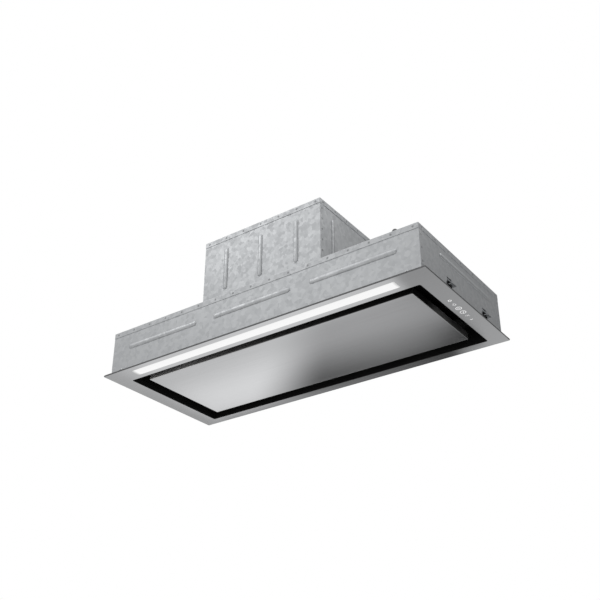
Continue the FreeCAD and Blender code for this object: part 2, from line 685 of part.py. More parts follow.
# Filter plate: closes the plenum round the two filters
plate_x = SHELL_IN_X - PLATE_CLEARANCE
plate_y = SHELL_IN_Y - PLATE_CLEARANCE
plate = block(-plate_x, plate_x, -plate_y, plate_y, PLATE_Z0, PLATE_Z1)
for side in SIDES:
    plate = plate.cut(mirrored_block(side, WINDOW_X0, WINDOW_X1, WINDOW_Y0, WINDOW_Y1, PLATE_Z0, PLATE_Z1))
plate_screws = []
screw_x = SUR_X + PLATE_SCREW_INSET
screw_ys = (SUR_Y0 - PLATE_SCREW_INSET, SUR_Y1 + PLATE_SCREW_INSET)
screw_places = [(x, y) for y in screw_ys for x in (-HINGE_X, 0.0, HINGE_X)]
screw_places += [(side * screw_x, y) for side in SIDES for y in FIXING_YS]
for x, y in screw_places:
    hole = screw_hole((x, y, PLATE_Z1), (0, 0, -1))
    plate = plate.cut(hole)
    surround = surround.cut(hole)
    plate_screws.append(screw((x, y, PLATE_Z1), (0, 0, -1)))
lead_slot = LEAD_RADIUS + GROMMET_LIP
for x, y in ((light_lead_x, LENS_Y), (TOUCH_X, touch_lead_y)):
    plate = plate.cut(rod(lead_slot, (x, y, PLATE_Z0), (x, y, PLATE_Z1)))
keep("filter_plate", plate)
keep("screws", *plate_screws)

# Claws that grip the cabinet board: pivot inside the shell, reach out through a window
claw_x = SHELL_X - CLAW_SETBACK
length = math.hypot(CLAW_REACH, CLAW_DROP)
ux, uz = CLAW_REACH / length, -CLAW_DROP / length
nx, nz = -uz * CLAW_SHEET / 2, ux * CLAW_SHEET / 2
claw_brackets = []
claw_pins = []
claw_springs = []
for side in SIDES:
    for end, y in zip(("front", "rear"), CLAW_YS):
        x = side * claw_x
        z = CLAW_ROOT_HEIGHT
        near = CLAW_KNUCKLE_RADIUS
        strip = [
            (near * ux + nx, near * uz + nz),
            (CLAW_REACH + nx, -CLAW_DROP + nz),
            (CLAW_REACH - nx, -CLAW_DROP - nz),
            (near * ux - nx, near * uz - nz),
        ]
        half = CLAW_WIDTH / 2
        claw = prism_y([(x + side * a, z + b) for a, b in strip], y - half, y + half)
        foot = [
            (CLAW_REACH + nx, -CLAW_DROP + nz),
            (CLAW_REACH + nx - CLAW_FOOT, -CLAW_DROP + nz),
            (CLAW_REACH + nx - CLAW_FOOT, -CLAW_DROP + nz - CLAW_SHEET),
            (CLAW_REACH + nx, -CLAW_DROP + nz - CLAW_SHEET),
        ]
        claw = claw.fuse(prism_y([(x + side * a, z + b) for a, b in foot], y - half, y + half))
        knuckle_y1 = y - half + CLAW_KNUCKLE_WIDTH
        claw = claw.fuse(rod(CLAW_KNUCKLE_RADIUS, (x, y - half, z), (x, knuckle_y1, z)))
        root = [(0.0 + nx, nz), (near * ux + nx, near * uz + nz), (near * ux - nx, near * uz - nz), (-nx, -nz)]
        claw = claw.fuse(prism_y([(x + side * a, z + b) for a, b in root], y - half, knuckle_y1))
        claw = claw.cut(rod(CLAW_PIN_RADIUS + SHAFT_PLAY, (x, y - half, z), (x, knuckle_y1, z)))
        side_name = "left" if side < 0 else "right"
        keep("claw_" + side_name + "_" + end, claw)
        ear_in = half + CLAW_PLAY
        ear_out = ear_in + CLAW_EAR
        back = claw_x - CLAW_BRACKET_BACK
        low = z - CLAW_BRACKET_HALF_HEIGHT
        high = z + CLAW_BRACKET_HALF_HEIGHT
        bracket = mirrored_block(side, back, SHELL_IN_X, y - ear_out, y - ear_in, low, high)
        bracket = bracket.fuse(mirrored_block(side, back, SHELL_IN_X, y + ear_in, y + ear_out, low, high))
        bracket = bracket.fuse(mirrored_block(side, back - CLAW_EAR, back, y - ear_out, y + ear_out, low, high))
        bracket = bracket.cut(rod(CLAW_PIN_RADIUS + FIT_PLAY, (x, y - ear_out, z), (x, y + ear_out, z)))
        claw_brackets.append(bracket)
        claw_pins.append(rod(CLAW_PIN_RADIUS, (x, y - ear_out, z), (x, y + ear_out, z)))
        spring_ends = ((x, knuckle_y1 + CLAW_PLAY, z), (x, y + half, z))
        claw_springs.append(pipe(CLAW_SPRING_RADIUS, CLAW_SPRING_BORE, *spring_ends))
keep("shell_brackets", *claw_brackets)
keep("pivot_pins", *claw_pins)
keep("claw_springs", *claw_springs)

# Intake panel: shallow stainless tray with stiffeners, hinge arms and catch keepers
panel = rounded_block(-PANEL_X, PANEL_X, PANEL_Y0, PANEL_Y1, PANEL_Z0, PANEL_Z1, PANEL_CORNER, PANEL_BEND)
panel = panel.cut(
    rounded_block(
        -PANEL_X + PANEL_SHEET, PANEL_X - PANEL_SHEET, PANEL_Y0 + PANEL_SHEET, PANEL_Y1 - PANEL_SHEET,
        PANEL_FLOOR, PANEL_Z1, PANEL_CORNER - PANEL_SHEET / 2, PANEL_BEND - PANEL_SHEET / 2,
    )
)
keep("intake_panel", panel)
stiffeners = []
for y in (PANEL_Y0 + STIFFENER_INSET, PANEL_Y1 - STIFFENER_INSET):
    inner = STIFFENER_WIDTH / 2
    outer = inner + STIFFENER_FOOT
    top = PANEL_FLOOR + STIFFENER_HEIGHT
    t = STIFFENER_SHEET
    hat = [
        (y - outer, PANEL_FLOOR), (y - inner + t, PANEL_FLOOR), (y - inner + t, top - t), (y + inner - t, top - t),
        (y + inner - t, PANEL_FLOOR), (y + outer, PANEL_FLOOR), (y + outer, PANEL_FLOOR + t),
        (y + inner, PANEL_FLOOR + t), (y + inner, top), (y - inner, top), (y - inner, PANEL_FLOOR + t),
        (y - outer, PANEL_FLOOR + t),
    ]
    reach = PANEL_X - STIFFENER_END_GAP
    stiffeners.append(prism_x(hat, -reach, reach))
keep("panel_stiffeners", *stiffeners)

# Hinge: an arm over the rear edge of the panel turns on a pin between two ears of a fixed bracket
arms = []
pins = []
hinge_brackets = []
keepers = []
catches = []
catch_brackets = []
for side in SIDES:
    x = side * HINGE_X
    half = HINGE_ARM_WIDTH / 2
    web_z0 = HINGE_Z - HINGE_ARM_WEB / 2
    web_z1 = HINGE_Z + HINGE_ARM_WEB / 2
    inner_y = PANEL_Y1 - PANEL_SHEET - HINGE_RISE
    profile = [
        (PANEL_Y1 - HINGE_ARM_FOOT, PANEL_FLOOR), (inner_y, PANEL_FLOOR), (inner_y, web_z0), (HINGE_Y, web_z0),
        (HINGE_Y, web_z1), (inner_y - HINGE_RISE, web_z1),
        (PANEL_Y1 - HINGE_ARM_FOOT, PANEL_FLOOR + HINGE_ARM_WEB),
    ]
    arm = prism_x(profile, x - half, x + half)
    arm = arm.fuse(rod(HINGE_KNUCKLE_RADIUS, (x - half, HINGE_Y, HINGE_Z), (x + half, HINGE_Y, HINGE_Z)))
    arm = arm.cut(
        rod(HINGE_PIN_RADIUS + SHAFT_PLAY, (x - half, HINGE_Y, HINGE_Z), (x + half, HINGE_Y, HINGE_Z))
    )
    arms.append(arm)
    ear_in = half + HINGE_SIDE_PLAY
    ear_out = ear_in + HINGE_EAR
    base_y = SUR_IN_Y1 - HINGE_BASE_SHEET
    low = HINGE_Z - HINGE_EAR_HALF_HEIGHT
    high = HINGE_Z + HINGE_EAR_HALF_HEIGHT
    wide = HINGE_BASE_WIDTH / 2
    bracket = block(x - wide, x + wide, base_y, SUR_IN_Y1, low, high + HINGE_BASE_RISE)
    for x0, x1 in ((x - ear_out, x - ear_in), (x + ear_in, x + ear_out)):
        bracket = bracket.fuse(block(x0, x1, HINGE_Y, base_y, low, high))
        bracket = bracket.fuse(rod(HINGE_EAR_HALF_HEIGHT, (x0, HINGE_Y, HINGE_Z), (x1, HINGE_Y, HINGE_Z)))
    ends = ((x - ear_out, HINGE_Y, HINGE_Z), (x + ear_out, HINGE_Y, HINGE_Z))
    bracket = bracket.cut(rod(HINGE_PIN_RADIUS + FIT_PLAY, *ends))
    hinge_brackets.append(bracket)
    pins.append(rod(HINGE_PIN_RADIUS, *ends))
    x = side * CATCH_X
    half = KEEPER_WIDTH / 2
    deep = CATCH_DEPTH / 2
    keeper = block(x - half, x + half, CATCH_Y - deep, CATCH_Y + deep, PANEL_FLOOR, PANEL_Z1)
    leg = half - CATCH_SHEET
    keeper = keeper.cut(
        block(x - leg, x + leg, CATCH_Y - deep, CATCH_Y + deep, PANEL_FLOOR, PANEL_Z1 - CATCH_SHEET)
    )
    keepers.append(keeper)
    magnet_z0 = PANEL_Z1 + CATCH_GAP
    magnet_z1 = magnet_z0 + CATCH_HEIGHT
    half = CATCH_WIDTH / 2
    catches.append(block(x - half, x + half, CATCH_Y - deep, CATCH_Y + deep, magnet_z0, magnet_z1))
    bracket = block(x - half, x + half, SUR_IN_Y0, CATCH_Y + deep, magnet_z1, magnet_z1 + CATCH_SHEET)
    bracket = bracket.fuse(
        block(x - half, x + half, SUR_IN_Y0, SUR_IN_Y0 + CATCH_SHEET, magnet_z0, magnet_z1 + CATCH_SHEET)
    )
    catch_brackets.append(bracket)
keep("hinge_arms", *arms)
keep("pivot_pins", *pins)
keep("recess_brackets", *hinge_brackets)
keep("catch_keepers", *keepers)
keep("catch_magnets", *catches)
keep("recess_brackets", *catch_brackets)
keep("intake_surround", surround)

# Grease filters: frame, mesh pack, latch cup, sliding latch and its spring
mesh_z0 = (FILTER_Z0 + FILTER_Z1 - MESH_HEIGHT) / 2
frame_in_y0 = FILTER_Y0 + FILTER_BORDER
frame_in_y1 = FILTER_Y1 - FILTER_BORDER
cup_y1 = frame_in_y0 + LATCH_CUP_DEPTH
tongue_y1 = frame_in_y0 + LATCH_TONGUE_BACK
for side, side_name in zip(SIDES, ("left", "right")):
    x0, x1 = sorted((side * FILTER_X0, side * FILTER_X1))
    middle = (x0 + x1) / 2
    frame = rounded_block(x0, x1, FILTER_Y0, FILTER_Y1, FILTER_Z0, FILTER_Z1, FILTER_CORNER)
    in_x0 = x0 + FILTER_BORDER
    in_x1 = x1 - FILTER_BORDER
    frame = frame.cut(block(in_x0, in_x1, frame_in_y0, frame_in_y1, FILTER_Z0, FILTER_Z1))
    for tab_side in SIDES:
        tab_x = middle + tab_side * FILTER_TAB_SPREAD / 2
        half = FILTER_TAB_WIDTH / 2
        tab = block(tab_x - half, tab_x + half, FILTER_Y1, FILTER_Y1 + FILTER_TAB_REACH, TONGUE_Z0, TONGUE_Z1)
        frame = frame.fuse(tab)
    half = LATCH_TONGUE_WIDTH / 2
    slot = half + LATCH_PLAY
    slot_z0 = TONGUE_Z0 - LATCH_PLAY
    slot_z1 = TONGUE_Z1 + LATCH_PLAY
    frame = frame.cut(block(middle - slot, middle + slot, FILTER_Y0, frame_in_y0, slot_z0, slot_z1))
    keep("filter_frame_" + side_name, frame)
    cup_half = LATCH_CUP_WIDTH / 2
    mesh = block(
        in_x0 + MESH_CLEARANCE, in_x1 - MESH_CLEARANCE, frame_in_y0 + MESH_CLEARANCE, frame_in_y1 - MESH_CLEARANCE,
        mesh_z0, mesh_z0 + MESH_HEIGHT,
    )
    room = cup_half + MESH_CLEARANCE
    mesh = mesh.cut(
        block(middle - room, middle + room, frame_in_y0, cup_y1 + MESH_CLEARANCE, mesh_z0, mesh_z0 + MESH_HEIGHT)
    )
    keep("filter_mesh_" + side_name, mesh)
    ceiling = slot_z1 + LATCH_CUP_WALL
    cup = block(middle - cup_half, middle + cup_half, frame_in_y0, cup_y1, FILTER_Z0, ceiling)
    hollow = cup_half - LATCH_CUP_WALL
    cup = cup.cut(
        block(
            middle - hollow, middle + hollow, frame_in_y0 + LATCH_CUP_WALL, cup_y1 - LATCH_CUP_WALL, FILTER_Z0, slot_z1
        )
    )
    cup = cup.cut(
        block(middle - slot, middle + slot, frame_in_y0, frame_in_y0 + LATCH_CUP_WALL, slot_z0, slot_z1)
    )
    keep("latch_cups", cup)
    tongue = block(
        middle - half, middle + half, FILTER_Y0 - LATCH_TONGUE_REACH, tongue_y1, TONGUE_Z0, TONGUE_Z1
    )
    tongue = tongue.fuse(
        block(middle - half, middle + half, tongue_y1, tongue_y1 + LATCH_TAB, FILTER_Z0 - LATCH_TAB_DROP, TONGUE_Z1)
    )
    keep("filter_latch_" + side_name, tongue)
    spring_z = (FILTER_Z0 + TONGUE_Z1) / 2
    spring_ends = ((middle, tongue_y1 + LATCH_TAB, spring_z), (middle, cup_y1 - LATCH_CUP_WALL, spring_z))
    keep("latch_spring_" + side_name, pipe(LATCH_SPRING_RADIUS, LATCH_SPRING_BORE, *spring_ends))

# Light bar: opal lens in the bezel slot, channel over it with the light board under its roof
body_x = LENS_X - LENS_CLEARANCE
body_y0 = LENS_Y0 + LENS_CLEARANCE
body_y1 = LENS_Y1 - LENS_CLEARANCE
crown = [v(-body_x, body_y0, FACE_Z), v(-body_x, LENS_Y, FACE_Z - LENS_CROWN), v(-body_x, body_y1, FACE_Z)]
section = Part.Wire([
    Part.Arc(*crown).toShape(),
    Part.LineSegment(crown[2], v(-body_x, body_y1, BACK_Z)).toShape(),
    Part.LineSegment(v(-body_x, body_y1, BACK_Z), v(-body_x, body_y0, BACK_Z)).toShape(),
    Part.LineSegment(v(-body_x, body_y0, BACK_Z), crown[0]).toShape(),
])
lens = Part.Face(section).extrude(v(2 * body_x, 0, 0))
lip_x = LENS_X + LENS_LIP
lens = lens.fuse(
    block(-lip_x, lip_x, LENS_Y0 - LENS_LIP, LENS_Y1 + LENS_LIP, BACK_Z, BACK_Z + LENS_LIP_HEIGHT)
)
keep("light_lens", lens)
channel = block(-CHANNEL_X, CHANNEL_X, CHANNEL_Y0, CHANNEL_Y1, BACK_Z, CHANNEL_Z1)
roof_z = CHANNEL_Z1 - CHANNEL_WALL
channel = channel.cut(
    block(-CHANNEL_X, CHANNEL_X, CHANNEL_Y0 + CHANNEL_WALL, CHANNEL_Y1 - CHANNEL_WALL, BACK_Z, roof_z)
)
lead_hole = LEAD_RADIUS + GROMMET_PLAY
channel = channel.cut(rod(lead_hole, (light_lead_x, LENS_Y, roof_z), (light_lead_x, LENS_Y, CHANNEL_Z1)))
keep("light_channel", channel)
keep(
    "light_end_caps",
    *[mirrored_block(s, CHANNEL_X, CHANNEL_X + END_CAP, CHANNEL_Y0, CHANNEL_Y1, BACK_Z, CHANNEL_Z1) for s in SIDES],
)
board_x = LENS_X - LIGHT_BOARD_INSET
board_half = LIGHT_BOARD_WIDTH / 2
board_z = roof_z - LIGHT_BOARD_HEIGHT
keep("light_board", block(-board_x, board_x, LENS_Y - board_half, LENS_Y + board_half, board_z, roof_z))
chips = []
chip = LIGHT_CHIP / 2
chip_pitch = 2 * board_x / LIGHT_CHIP_COUNT
for i in range(LIGHT_CHIP_COUNT):
    x = -board_x + (i + 0.5) * chip_pitch
    chips.append(block(x - chip, x + chip, LENS_Y - chip, LENS_Y + chip, board_z - LIGHT_CHIP_HEIGHT, board_z))
keep("light_chips", *chips)

# Touch controls behind the right border
touch_y0 = KEY_CENTRE_Y - TOUCH_HALF
touch_y1 = KEY_CENTRE_Y + TOUCH_HALF
touch_z1 = BACK_Z + TOUCH_HEIGHT
housing = block(TOUCH_X0, TOUCH_X1, touch_y0, touch_y1, BACK_Z, touch_z1)
w = TOUCH_WALL
housing = housing.cut(
    block(TOUCH_X0 + w, TOUCH_X1 - w, touch_y0 + w, touch_y1 - w, BACK_Z, touch_z1 - w)
)
housing = housing.cut(
    rod(lead_hole, (TOUCH_X, touch_lead_y, touch_z1 - w), (TOUCH_X, touch_lead_y, touch_z1))
)
keep("touch_housing", housing)
p = w + TOUCH_BOARD_PLAY
touch_board_z0 = BACK_Z + TOUCH_BOARD_PLAY
touch_board_z1 = touch_board_z0 + TOUCH_BOARD_HEIGHT
touch_board = block(TOUCH_X0 + p, TOUCH_X1 - p, touch_y0 + p, touch_y1 - p, touch_board_z0, touch_board_z1)
touch_lights = []
for y in KEY_YS:
    touch_board = touch_board.cut(rod(TOUCH_LIGHT_HOLE, (TOUCH_X, y, touch_board_z0), (TOUCH_X, y, touch_board_z1)))
    s = TOUCH_LIGHT / 2
    top = touch_board_z1 + TOUCH_LIGHT_HEIGHT
    touch_lights.append(block(TOUCH_X - s, TOUCH_X + s, y - s, y + s, touch_board_z1, top))
keep("touch_board", touch_board)
keep("touch_board", *touch_lights)

# Blower box on the plenum top
box = block(-BOX_X, BOX_X, BOX_Y0, BOX_Y1, PLENUM_HEIGHT, BOX_TOP)
foot_top = PLENUM_HEIGHT + BOX_SHEET
foot_out_x = BOX_X + BOX_FOOT
feet = [
    block(-foot_out_x, foot_out_x, BOX_Y0 - BOX_FOOT, BOX_Y0, PLENUM_HEIGHT, foot_top),
    block(-foot_out_x, foot_out_x, BOX_Y1, BOX_Y1 + BOX_FOOT, PLENUM_HEIGHT, foot_top),
    block(-foot_out_x, -BOX_X, BOX_Y0, BOX_Y1, PLENUM_HEIGHT, foot_top),
    block(BOX_X, foot_out_x, BOX_Y0, BOX_Y1, PLENUM_HEIGHT, foot_top),
]
box = box.cut(block(-box_in_x, box_in_x, box_in_y0, box_in_y1, PLENUM_HEIGHT, SCROLL_TOP))
box = box.cut(
    rod(SPIGOT_BORE, (0, OUTLET_CENTRE_Y, SCROLL_TOP), (0, OUTLET_CENTRE_Y, BOX_TOP))
)
box = box.cut(grommet_hole(motor_pass, (1, 0, 0), BOX_SHEET))
case_screws = list(tab_screws)
foot_x = BOX_X + BOX_SCREW_INSET
foot_y0 = BOX_Y0 - BOX_SCREW_INSET
foot_y1 = BOX_Y1 + BOX_SCREW_INSET
foot_places = [(x, y) for y in (foot_y0, foot_y1) for x in (-foot_x, -foot_x / 3, foot_x / 3, foot_x)]
foot_places += [(side * foot_x, OUTLET_CENTRE_Y + SPIGOT_RADIUS / 2) for side in SIDES]
for x, y in foot_places:
    hole = screw_hole((x, y, foot_top), (0, 0, -1))
    feet = [foot.cut(hole) for foot in feet]
    shell = shell.cut(hole)
    case_screws.append(screw((x, y, foot_top), (0, 0, -1)))
keep("plenum_shell", shell)
keep("blower_feet", *feet)

# Outlet collar, its screws, the flap pin and the two flaps
axis_y = OUTLET_CENTRE_Y
base_half = COLLAR_BASE / 2
base_top = BOX_TOP + COLLAR_BASE_HEIGHT
collar = rounded_block(
    -base_half, base_half, axis_y - base_half, axis_y + base_half, BOX_TOP, base_top, COLLAR_BASE_CORNER
)
spigot_top = BOX_TOP + SPIGOT_HEIGHT
collar = collar.fuse(rod(SPIGOT_RADIUS, (0, axis_y, BOX_TOP), (0, axis_y, spigot_top)))
collar = collar.cut(rod(SPIGOT_BORE, (0, axis_y, BOX_TOP), (0, axis_y, spigot_top)))
ledge_z0 = LEDGE_TOP - LEDGE_HEIGHT
embed = SPIGOT_BORE + SPIGOT_WALL / 2
ledge = pipe(embed, SPIGOT_BORE - LEDGE_DEPTH, (0, axis_y, ledge_z0), (0, axis_y, LEDGE_TOP))
bar_half = BAR_WIDTH / 2
bar = block(-embed, embed, axis_y - bar_half, axis_y + bar_half, LEDGE_TOP - BAR_HEIGHT, LEDGE_TOP)
bar = bar.common(rod(embed, (0, axis_y, LEDGE_TOP - BAR_HEIGHT), (0, axis_y, LEDGE_TOP)))
collar = collar.fuse(ledge).fuse(bar)
pin_x = SPIGOT_BORE + FLAP_PIN_EMBED
pin_ends = ((-pin_x, axis_y, FLAP_AXIS_Z), (pin_x, axis_y, FLAP_AXIS_Z))
collar = collar.cut(rod(FLAP_PIN_RADIUS + FIT_PLAY, *pin_ends))
keep("flap_pin", rod(FLAP_PIN_RADIUS, *pin_ends))
collar_inset = base_half - COLLAR_SCREW_INSET
for sx in SIDES:
    for sy in SIDES:
        place = (sx * collar_inset, axis_y + sy * collar_inset, base_top)
        hole = screw_hole(place, (0, 0, -1))
        collar = collar.cut(hole)
        box = box.cut(hole)
        case_screws.append(screw(place, (0, 0, -1)))
keep("outlet_collar", collar)
keep("blower_box", box)
flap_edge = FLAP_KNUCKLE_RADIUS + FLAP_EDGE_GAP
flap_z1 = FLAP_Z0 + FLAP_SHEET
disc = rod(FLAP_RADIUS, (0, axis_y, FLAP_Z0), (0, axis_y, flap_z1))
step = FLAP_KNUCKLE_WIDTH + FLAP_KNUCKLE_GAP
inner_start = FLAP_KNUCKLE_GAP / 2
for side, side_name, start in ((-1, "front", inner_start + step), (1, "rear", inner_start)):
    y0, y1 = sorted((axis_y + side * flap_edge, axis_y + side * FLAP_RADIUS))
    flap = disc.common(block(-FLAP_RADIUS, FLAP_RADIUS, y0, y1, FLAP_Z0, flap_z1))
    for hand in SIDES:
        x0, x1 = sorted((hand * start, hand * (start + FLAP_KNUCKLE_WIDTH)))
        y0, y1 = sorted((axis_y, axis_y + side * flap_edge))
        flap = flap.fuse(block(x0, x1, y0, y1, FLAP_Z0, flap_z1))
        flap = flap.fuse(rod(FLAP_KNUCKLE_RADIUS, (x0, axis_y, FLAP_AXIS_Z), (x1, axis_y, FLAP_AXIS_Z)))
    flap = flap.cut(rod(FLAP_PIN_RADIUS + SHAFT_PLAY, *pin_ends))
    keep("flap_" + side_name, flap)

# Motor on the right inlet, carried by a three-arm bracket on rubber dampers
def at(x):
    return (x, AXIS_Y, AXIS_Z)


can = rod(MOTOR_RADIUS, at(MOTOR_FRONT), at(MOTOR_REAR))
front_in = MOTOR_FRONT + MOTOR_CAP
can = can.cut(rod(MOTOR_RADIUS - MOTOR_WALL, at(front_in), at(MOTOR_REAR)))
seat_radius = BEARING_RADIUS + FIT_PLAY
front_seat = front_in + BEARING_WIDTH
can = can.fuse(pipe(seat_radius + BEARING_SEAT, seat_radius, at(front_in), at(front_seat)))
can = can.cut(rod(SHAFT_RADIUS + BEARING_SEAT / 3, at(MOTOR_FRONT), at(front_in)))
keep("motor_can", can)
rear_seat = MOTOR_REAR - BEARING_WIDTH
cap = rod(MOTOR_RADIUS, at(MOTOR_REAR), at(MOTOR_END))
cap = cap.fuse(pipe(seat_radius + BEARING_SEAT, seat_radius, at(rear_seat), at(MOTOR_REAR)))
keep("motor_cap", cap)
bearing_bore = SHAFT_RADIUS + SHAFT_PLAY
keep(
    "motor_bearings",
    pipe(BEARING_RADIUS, bearing_bore, at(front_in), at(front_seat)),
    pipe(BEARING_RADIUS, bearing_bore, at(rear_seat), at(MOTOR_REAR)),
)
rotor_x0 = MOTOR_FRONT + ROTOR_OFFSET
rotor_x1 = rotor_x0 + ROTOR_LENGTH
stator_bore = ROTOR_RADIUS + AIR_GAP
stator_radius = MOTOR_RADIUS - MOTOR_WALL - FIT_PLAY
keep("motor_stator", pipe(stator_radius, stator_bore, at(rotor_x0), at(rotor_x1)))
winding_bore = stator_bore + BEARING_SEAT
winding_radius = winding_bore + WINDING_DEPTH
keep(
    "motor_stator",
    pipe(winding_radius, winding_bore, at(rotor_x0 - WINDING_LENGTH), at(rotor_x0)),
    pipe(winding_radius, winding_bore, at(rotor_x1), at(rotor_x1 + WINDING_LENGTH)),
)
keep("motor_rotor", pipe(ROTOR_RADIUS, SHAFT_RADIUS + FIT_PLAY, at(rotor_x0), at(rotor_x1)))
hub_x0 = -HUB_LENGTH + IMPELLER_DISC
hub_x1 = IMPELLER_DISC
keep("motor_shaft", rod(SHAFT_RADIUS, at(hub_x0 - IMPELLER_DISC), at(MOTOR_REAR - FIT_PLAY)))

scroll_left = scroll_half(-1)
scroll_right = scroll_half(1)
spider = rod(BRACKET_HUB_RADIUS, at(MOTOR_END), at(MOTOR_END + BRACKET_SHEET))
dampers = []
for i in range(BRACKET_ARM_COUNT):
    arm_end = DAMPER_CIRCLE + DAMPER_RADIUS
    arm = block(
        MOTOR_END, MOTOR_END + BRACKET_SHEET, AXIS_Y - BRACKET_ARM_WIDTH / 2, AXIS_Y + BRACKET_ARM_WIDTH / 2,
        AXIS_Z, AXIS_Z + arm_end,
    )
    arm.rotate(v(*at(0.0)), v(1, 0, 0), 360.0 * i / BRACKET_ARM_COUNT)
    spider = spider.fuse(arm)
for i in range(BRACKET_ARM_COUNT):
    y, z = around_axis(i, BRACKET_ARM_COUNT, DAMPER_CIRCLE)
    hole = rod(SCREW_HOLE_RADIUS, (SCROLL_IN_X, y, z), (MOTOR_END + BRACKET_SHEET, y, z))
    spider = spider.cut(hole)
    scroll_right = scroll_right.cut(hole)
    dampers.append(pipe(DAMPER_RADIUS, SCREW_HOLE_RADIUS, (SCROLL_X, y, z), (MOTOR_END, y, z)))
    stud = rod(SCREW_RADIUS, (SCROLL_IN_X, y, z), (MOTOR_END + BRACKET_SHEET, y, z))
    head_x = MOTOR_END + BRACKET_SHEET
    stud = stud.fuse(rod(SCREW_HEAD_RADIUS, (head_x, y, z), (head_x + SCREW_HEAD_HEIGHT, y, z)))
    keep("screws", stud)
keep("motor_bracket", spider)
keep("motor_dampers", *dampers)
keep("scroll_left", scroll_left)
keep("scroll_right", scroll_right)

# Impeller: squirrel cage of curved blades on a middle disc, with end rings and a hub on the shaft
wheel = rod(IMPELLER_RADIUS, at(-IMPELLER_DISC / 2), at(IMPELLER_DISC / 2))
wheel = wheel.fuse(rod(HUB_RADIUS, at(hub_x0), at(hub_x1)))
ring_bore = IMPELLER_RADIUS - BLADE_DEPTH / 2
parts = []
for side in SIDES:
    ring_x0 = side * (IMPELLER_HALF_WIDTH - IMPELLER_RING_WIDTH)
    parts.append(
        pipe(IMPELLER_RADIUS + IMPELLER_RING_LIP, ring_bore, at(ring_x0), at(side * IMPELLER_HALF_WIDTH))
    )
one = blade()
for i in range(BLADE_COUNT):
    copy = one.copy()
    copy.rotate(v(*at(0.0)), v(1, 0, 0), 360.0 * i / BLADE_COUNT)
    parts.append(copy)
wheel = wheel.multiFuse(parts)
wheel = wheel.cut(rod(SHAFT_RADIUS + FIT_PLAY, at(hub_x0), at(hub_x1)))
keep("impeller", wheel)

# Electronics box beside the blower, with its board, lid and mains gland
case = block(CASE_X0, CASE_X1, CASE_Y0, CASE_Y1, PLENUM_HEIGHT, CASE_TOP)
w = CASE_WALL
case = case.cut(block(CASE_X0 + w, CASE_X1 - w, CASE_Y0 + w, CASE_Y1 - w, CASE_FLOOR, CASE_TOP))
board_x0 = CASE_X0 + w + BOARD_INSET
board_x1 = CASE_X1 - w - BOARD_INSET
board_y0 = CASE_Y0 + w + BOARD_INSET
board_y1 = CASE_Y1 - w - BOARD_INSET
for x in (board_x0 + STANDOFF_INSET, board_x1 - STANDOFF_INSET):
    for y in (board_y0 + STANDOFF_INSET, board_y1 - STANDOFF_INSET):
        case = case.fuse(rod(STANDOFF_RADIUS, (x, y, PLENUM_HEIGHT), (x, y, BOARD_Z0)))
gland_z = PLENUM_HEIGHT + GLAND_HEIGHT
case = case.cut(rod(GLAND_RADIUS, (CASE_X1 - w, GLAND_Y, gland_z), (CASE_X1, GLAND_Y, gland_z)))
motor_in = (CASE_X0, motor_lead_y, motor_lead_z)
light_in = (light_lead_x, CASE_Y0, LEAD_Z)
touch_in = (CASE_X1, touch_lead_y, LEAD_Z)
case = case.cut(grommet_hole(motor_in, (-1, 0, 0), w))
case = case.cut(grommet_hole(light_in, (0, -1, 0), w))
case = case.cut(grommet_hole(touch_in, (1, 0, 0), w))
lid = block(
    CASE_X0 - LID_OVERHANG, CASE_X1 + LID_OVERHANG, CASE_Y0 - LID_OVERHANG, CASE_Y1 + LID_OVERHANG,
    CASE_TOP, CASE_TOP + LID_HEIGHT,
)
boss = SCREW_HEAD_RADIUS
boss_xs = (CASE_X0 + w + BOSS_INSET, CASE_X1 - w - BOSS_INSET)
boss_ys = (CASE_Y0 + w + BOSS_INSET, CASE_Y1 - w - BOSS_INSET)
for x in boss_xs:
    for y in boss_ys:
        case = case.fuse(rod(boss, (x, y, CASE_FLOOR), (x, y, CASE_TOP)))
        hole = screw_hole((x, y, CASE_TOP + LID_HEIGHT), (0, 0, -1))
        lid = lid.cut(hole)
        case = case.cut(hole)
        case_screws.append(screw((x, y, CASE_TOP + LID_HEIGHT), (0, 0, -1)))
keep("electronics_case", case)
keep("electronics_lid", lid)
keep("screws", *case_screws)
main_board = block(board_x0, board_x1, board_y0, board_y1, BOARD_Z0, BOARD_Z1)
for x in boss_xs:
    for y in boss_ys:
        main_board = main_board.cut(rod(boss + TOUCH_BOARD_PLAY, (x, y, BOARD_Z0), (x, y, BOARD_Z1)))
keep("main_board", main_board)
edge = BOARD_INSET
relay_y1 = board_y1 - edge
relays = []
for i in range(RELAY_COUNT):
    x = board_x0 + STANDOFF_INSET + edge + i * RELAY_PITCH
    relays.append(block(x, x + RELAY_WIDTH, relay_y1 - RELAY_LENGTH, relay_y1, BOARD_Z1, BOARD_Z1 + RELAY_HEIGHT))
keep("board_components", *relays)
mid_x = (board_x0 + board_x1) / 2
trafo_y1 = board_y0 + edge + TRANSFORMER_DEPTH
keep(
    "board_components",
    block(
        mid_x, mid_x + TRANSFORMER_WIDTH, board_y0 + edge, trafo_y1, BOARD_Z1, BOARD_Z1 + TRANSFORMER_HEIGHT
    ),
)
cap_z = BOARD_Z1 + CAPACITOR_RADIUS
cap_y = (trafo_y1 + relay_y1 - RELAY_LENGTH) / 2
cap_x = mid_x + edge
keep(
    "run_capacitor",
    rod(CAPACITOR_RADIUS, (cap_x - CAPACITOR_LENGTH, cap_y, cap_z), (cap_x, cap_y, cap_z)),
)
term_x1 = board_x1 - edge
keep(
    "board_components",
    block(
        term_x1 - TERMINAL_WIDTH, term_x1, GLAND_Y, GLAND_Y + TERMINAL_DEPTH, BOARD_Z1, BOARD_Z1 + TERMINAL_HEIGHT
    ),
)

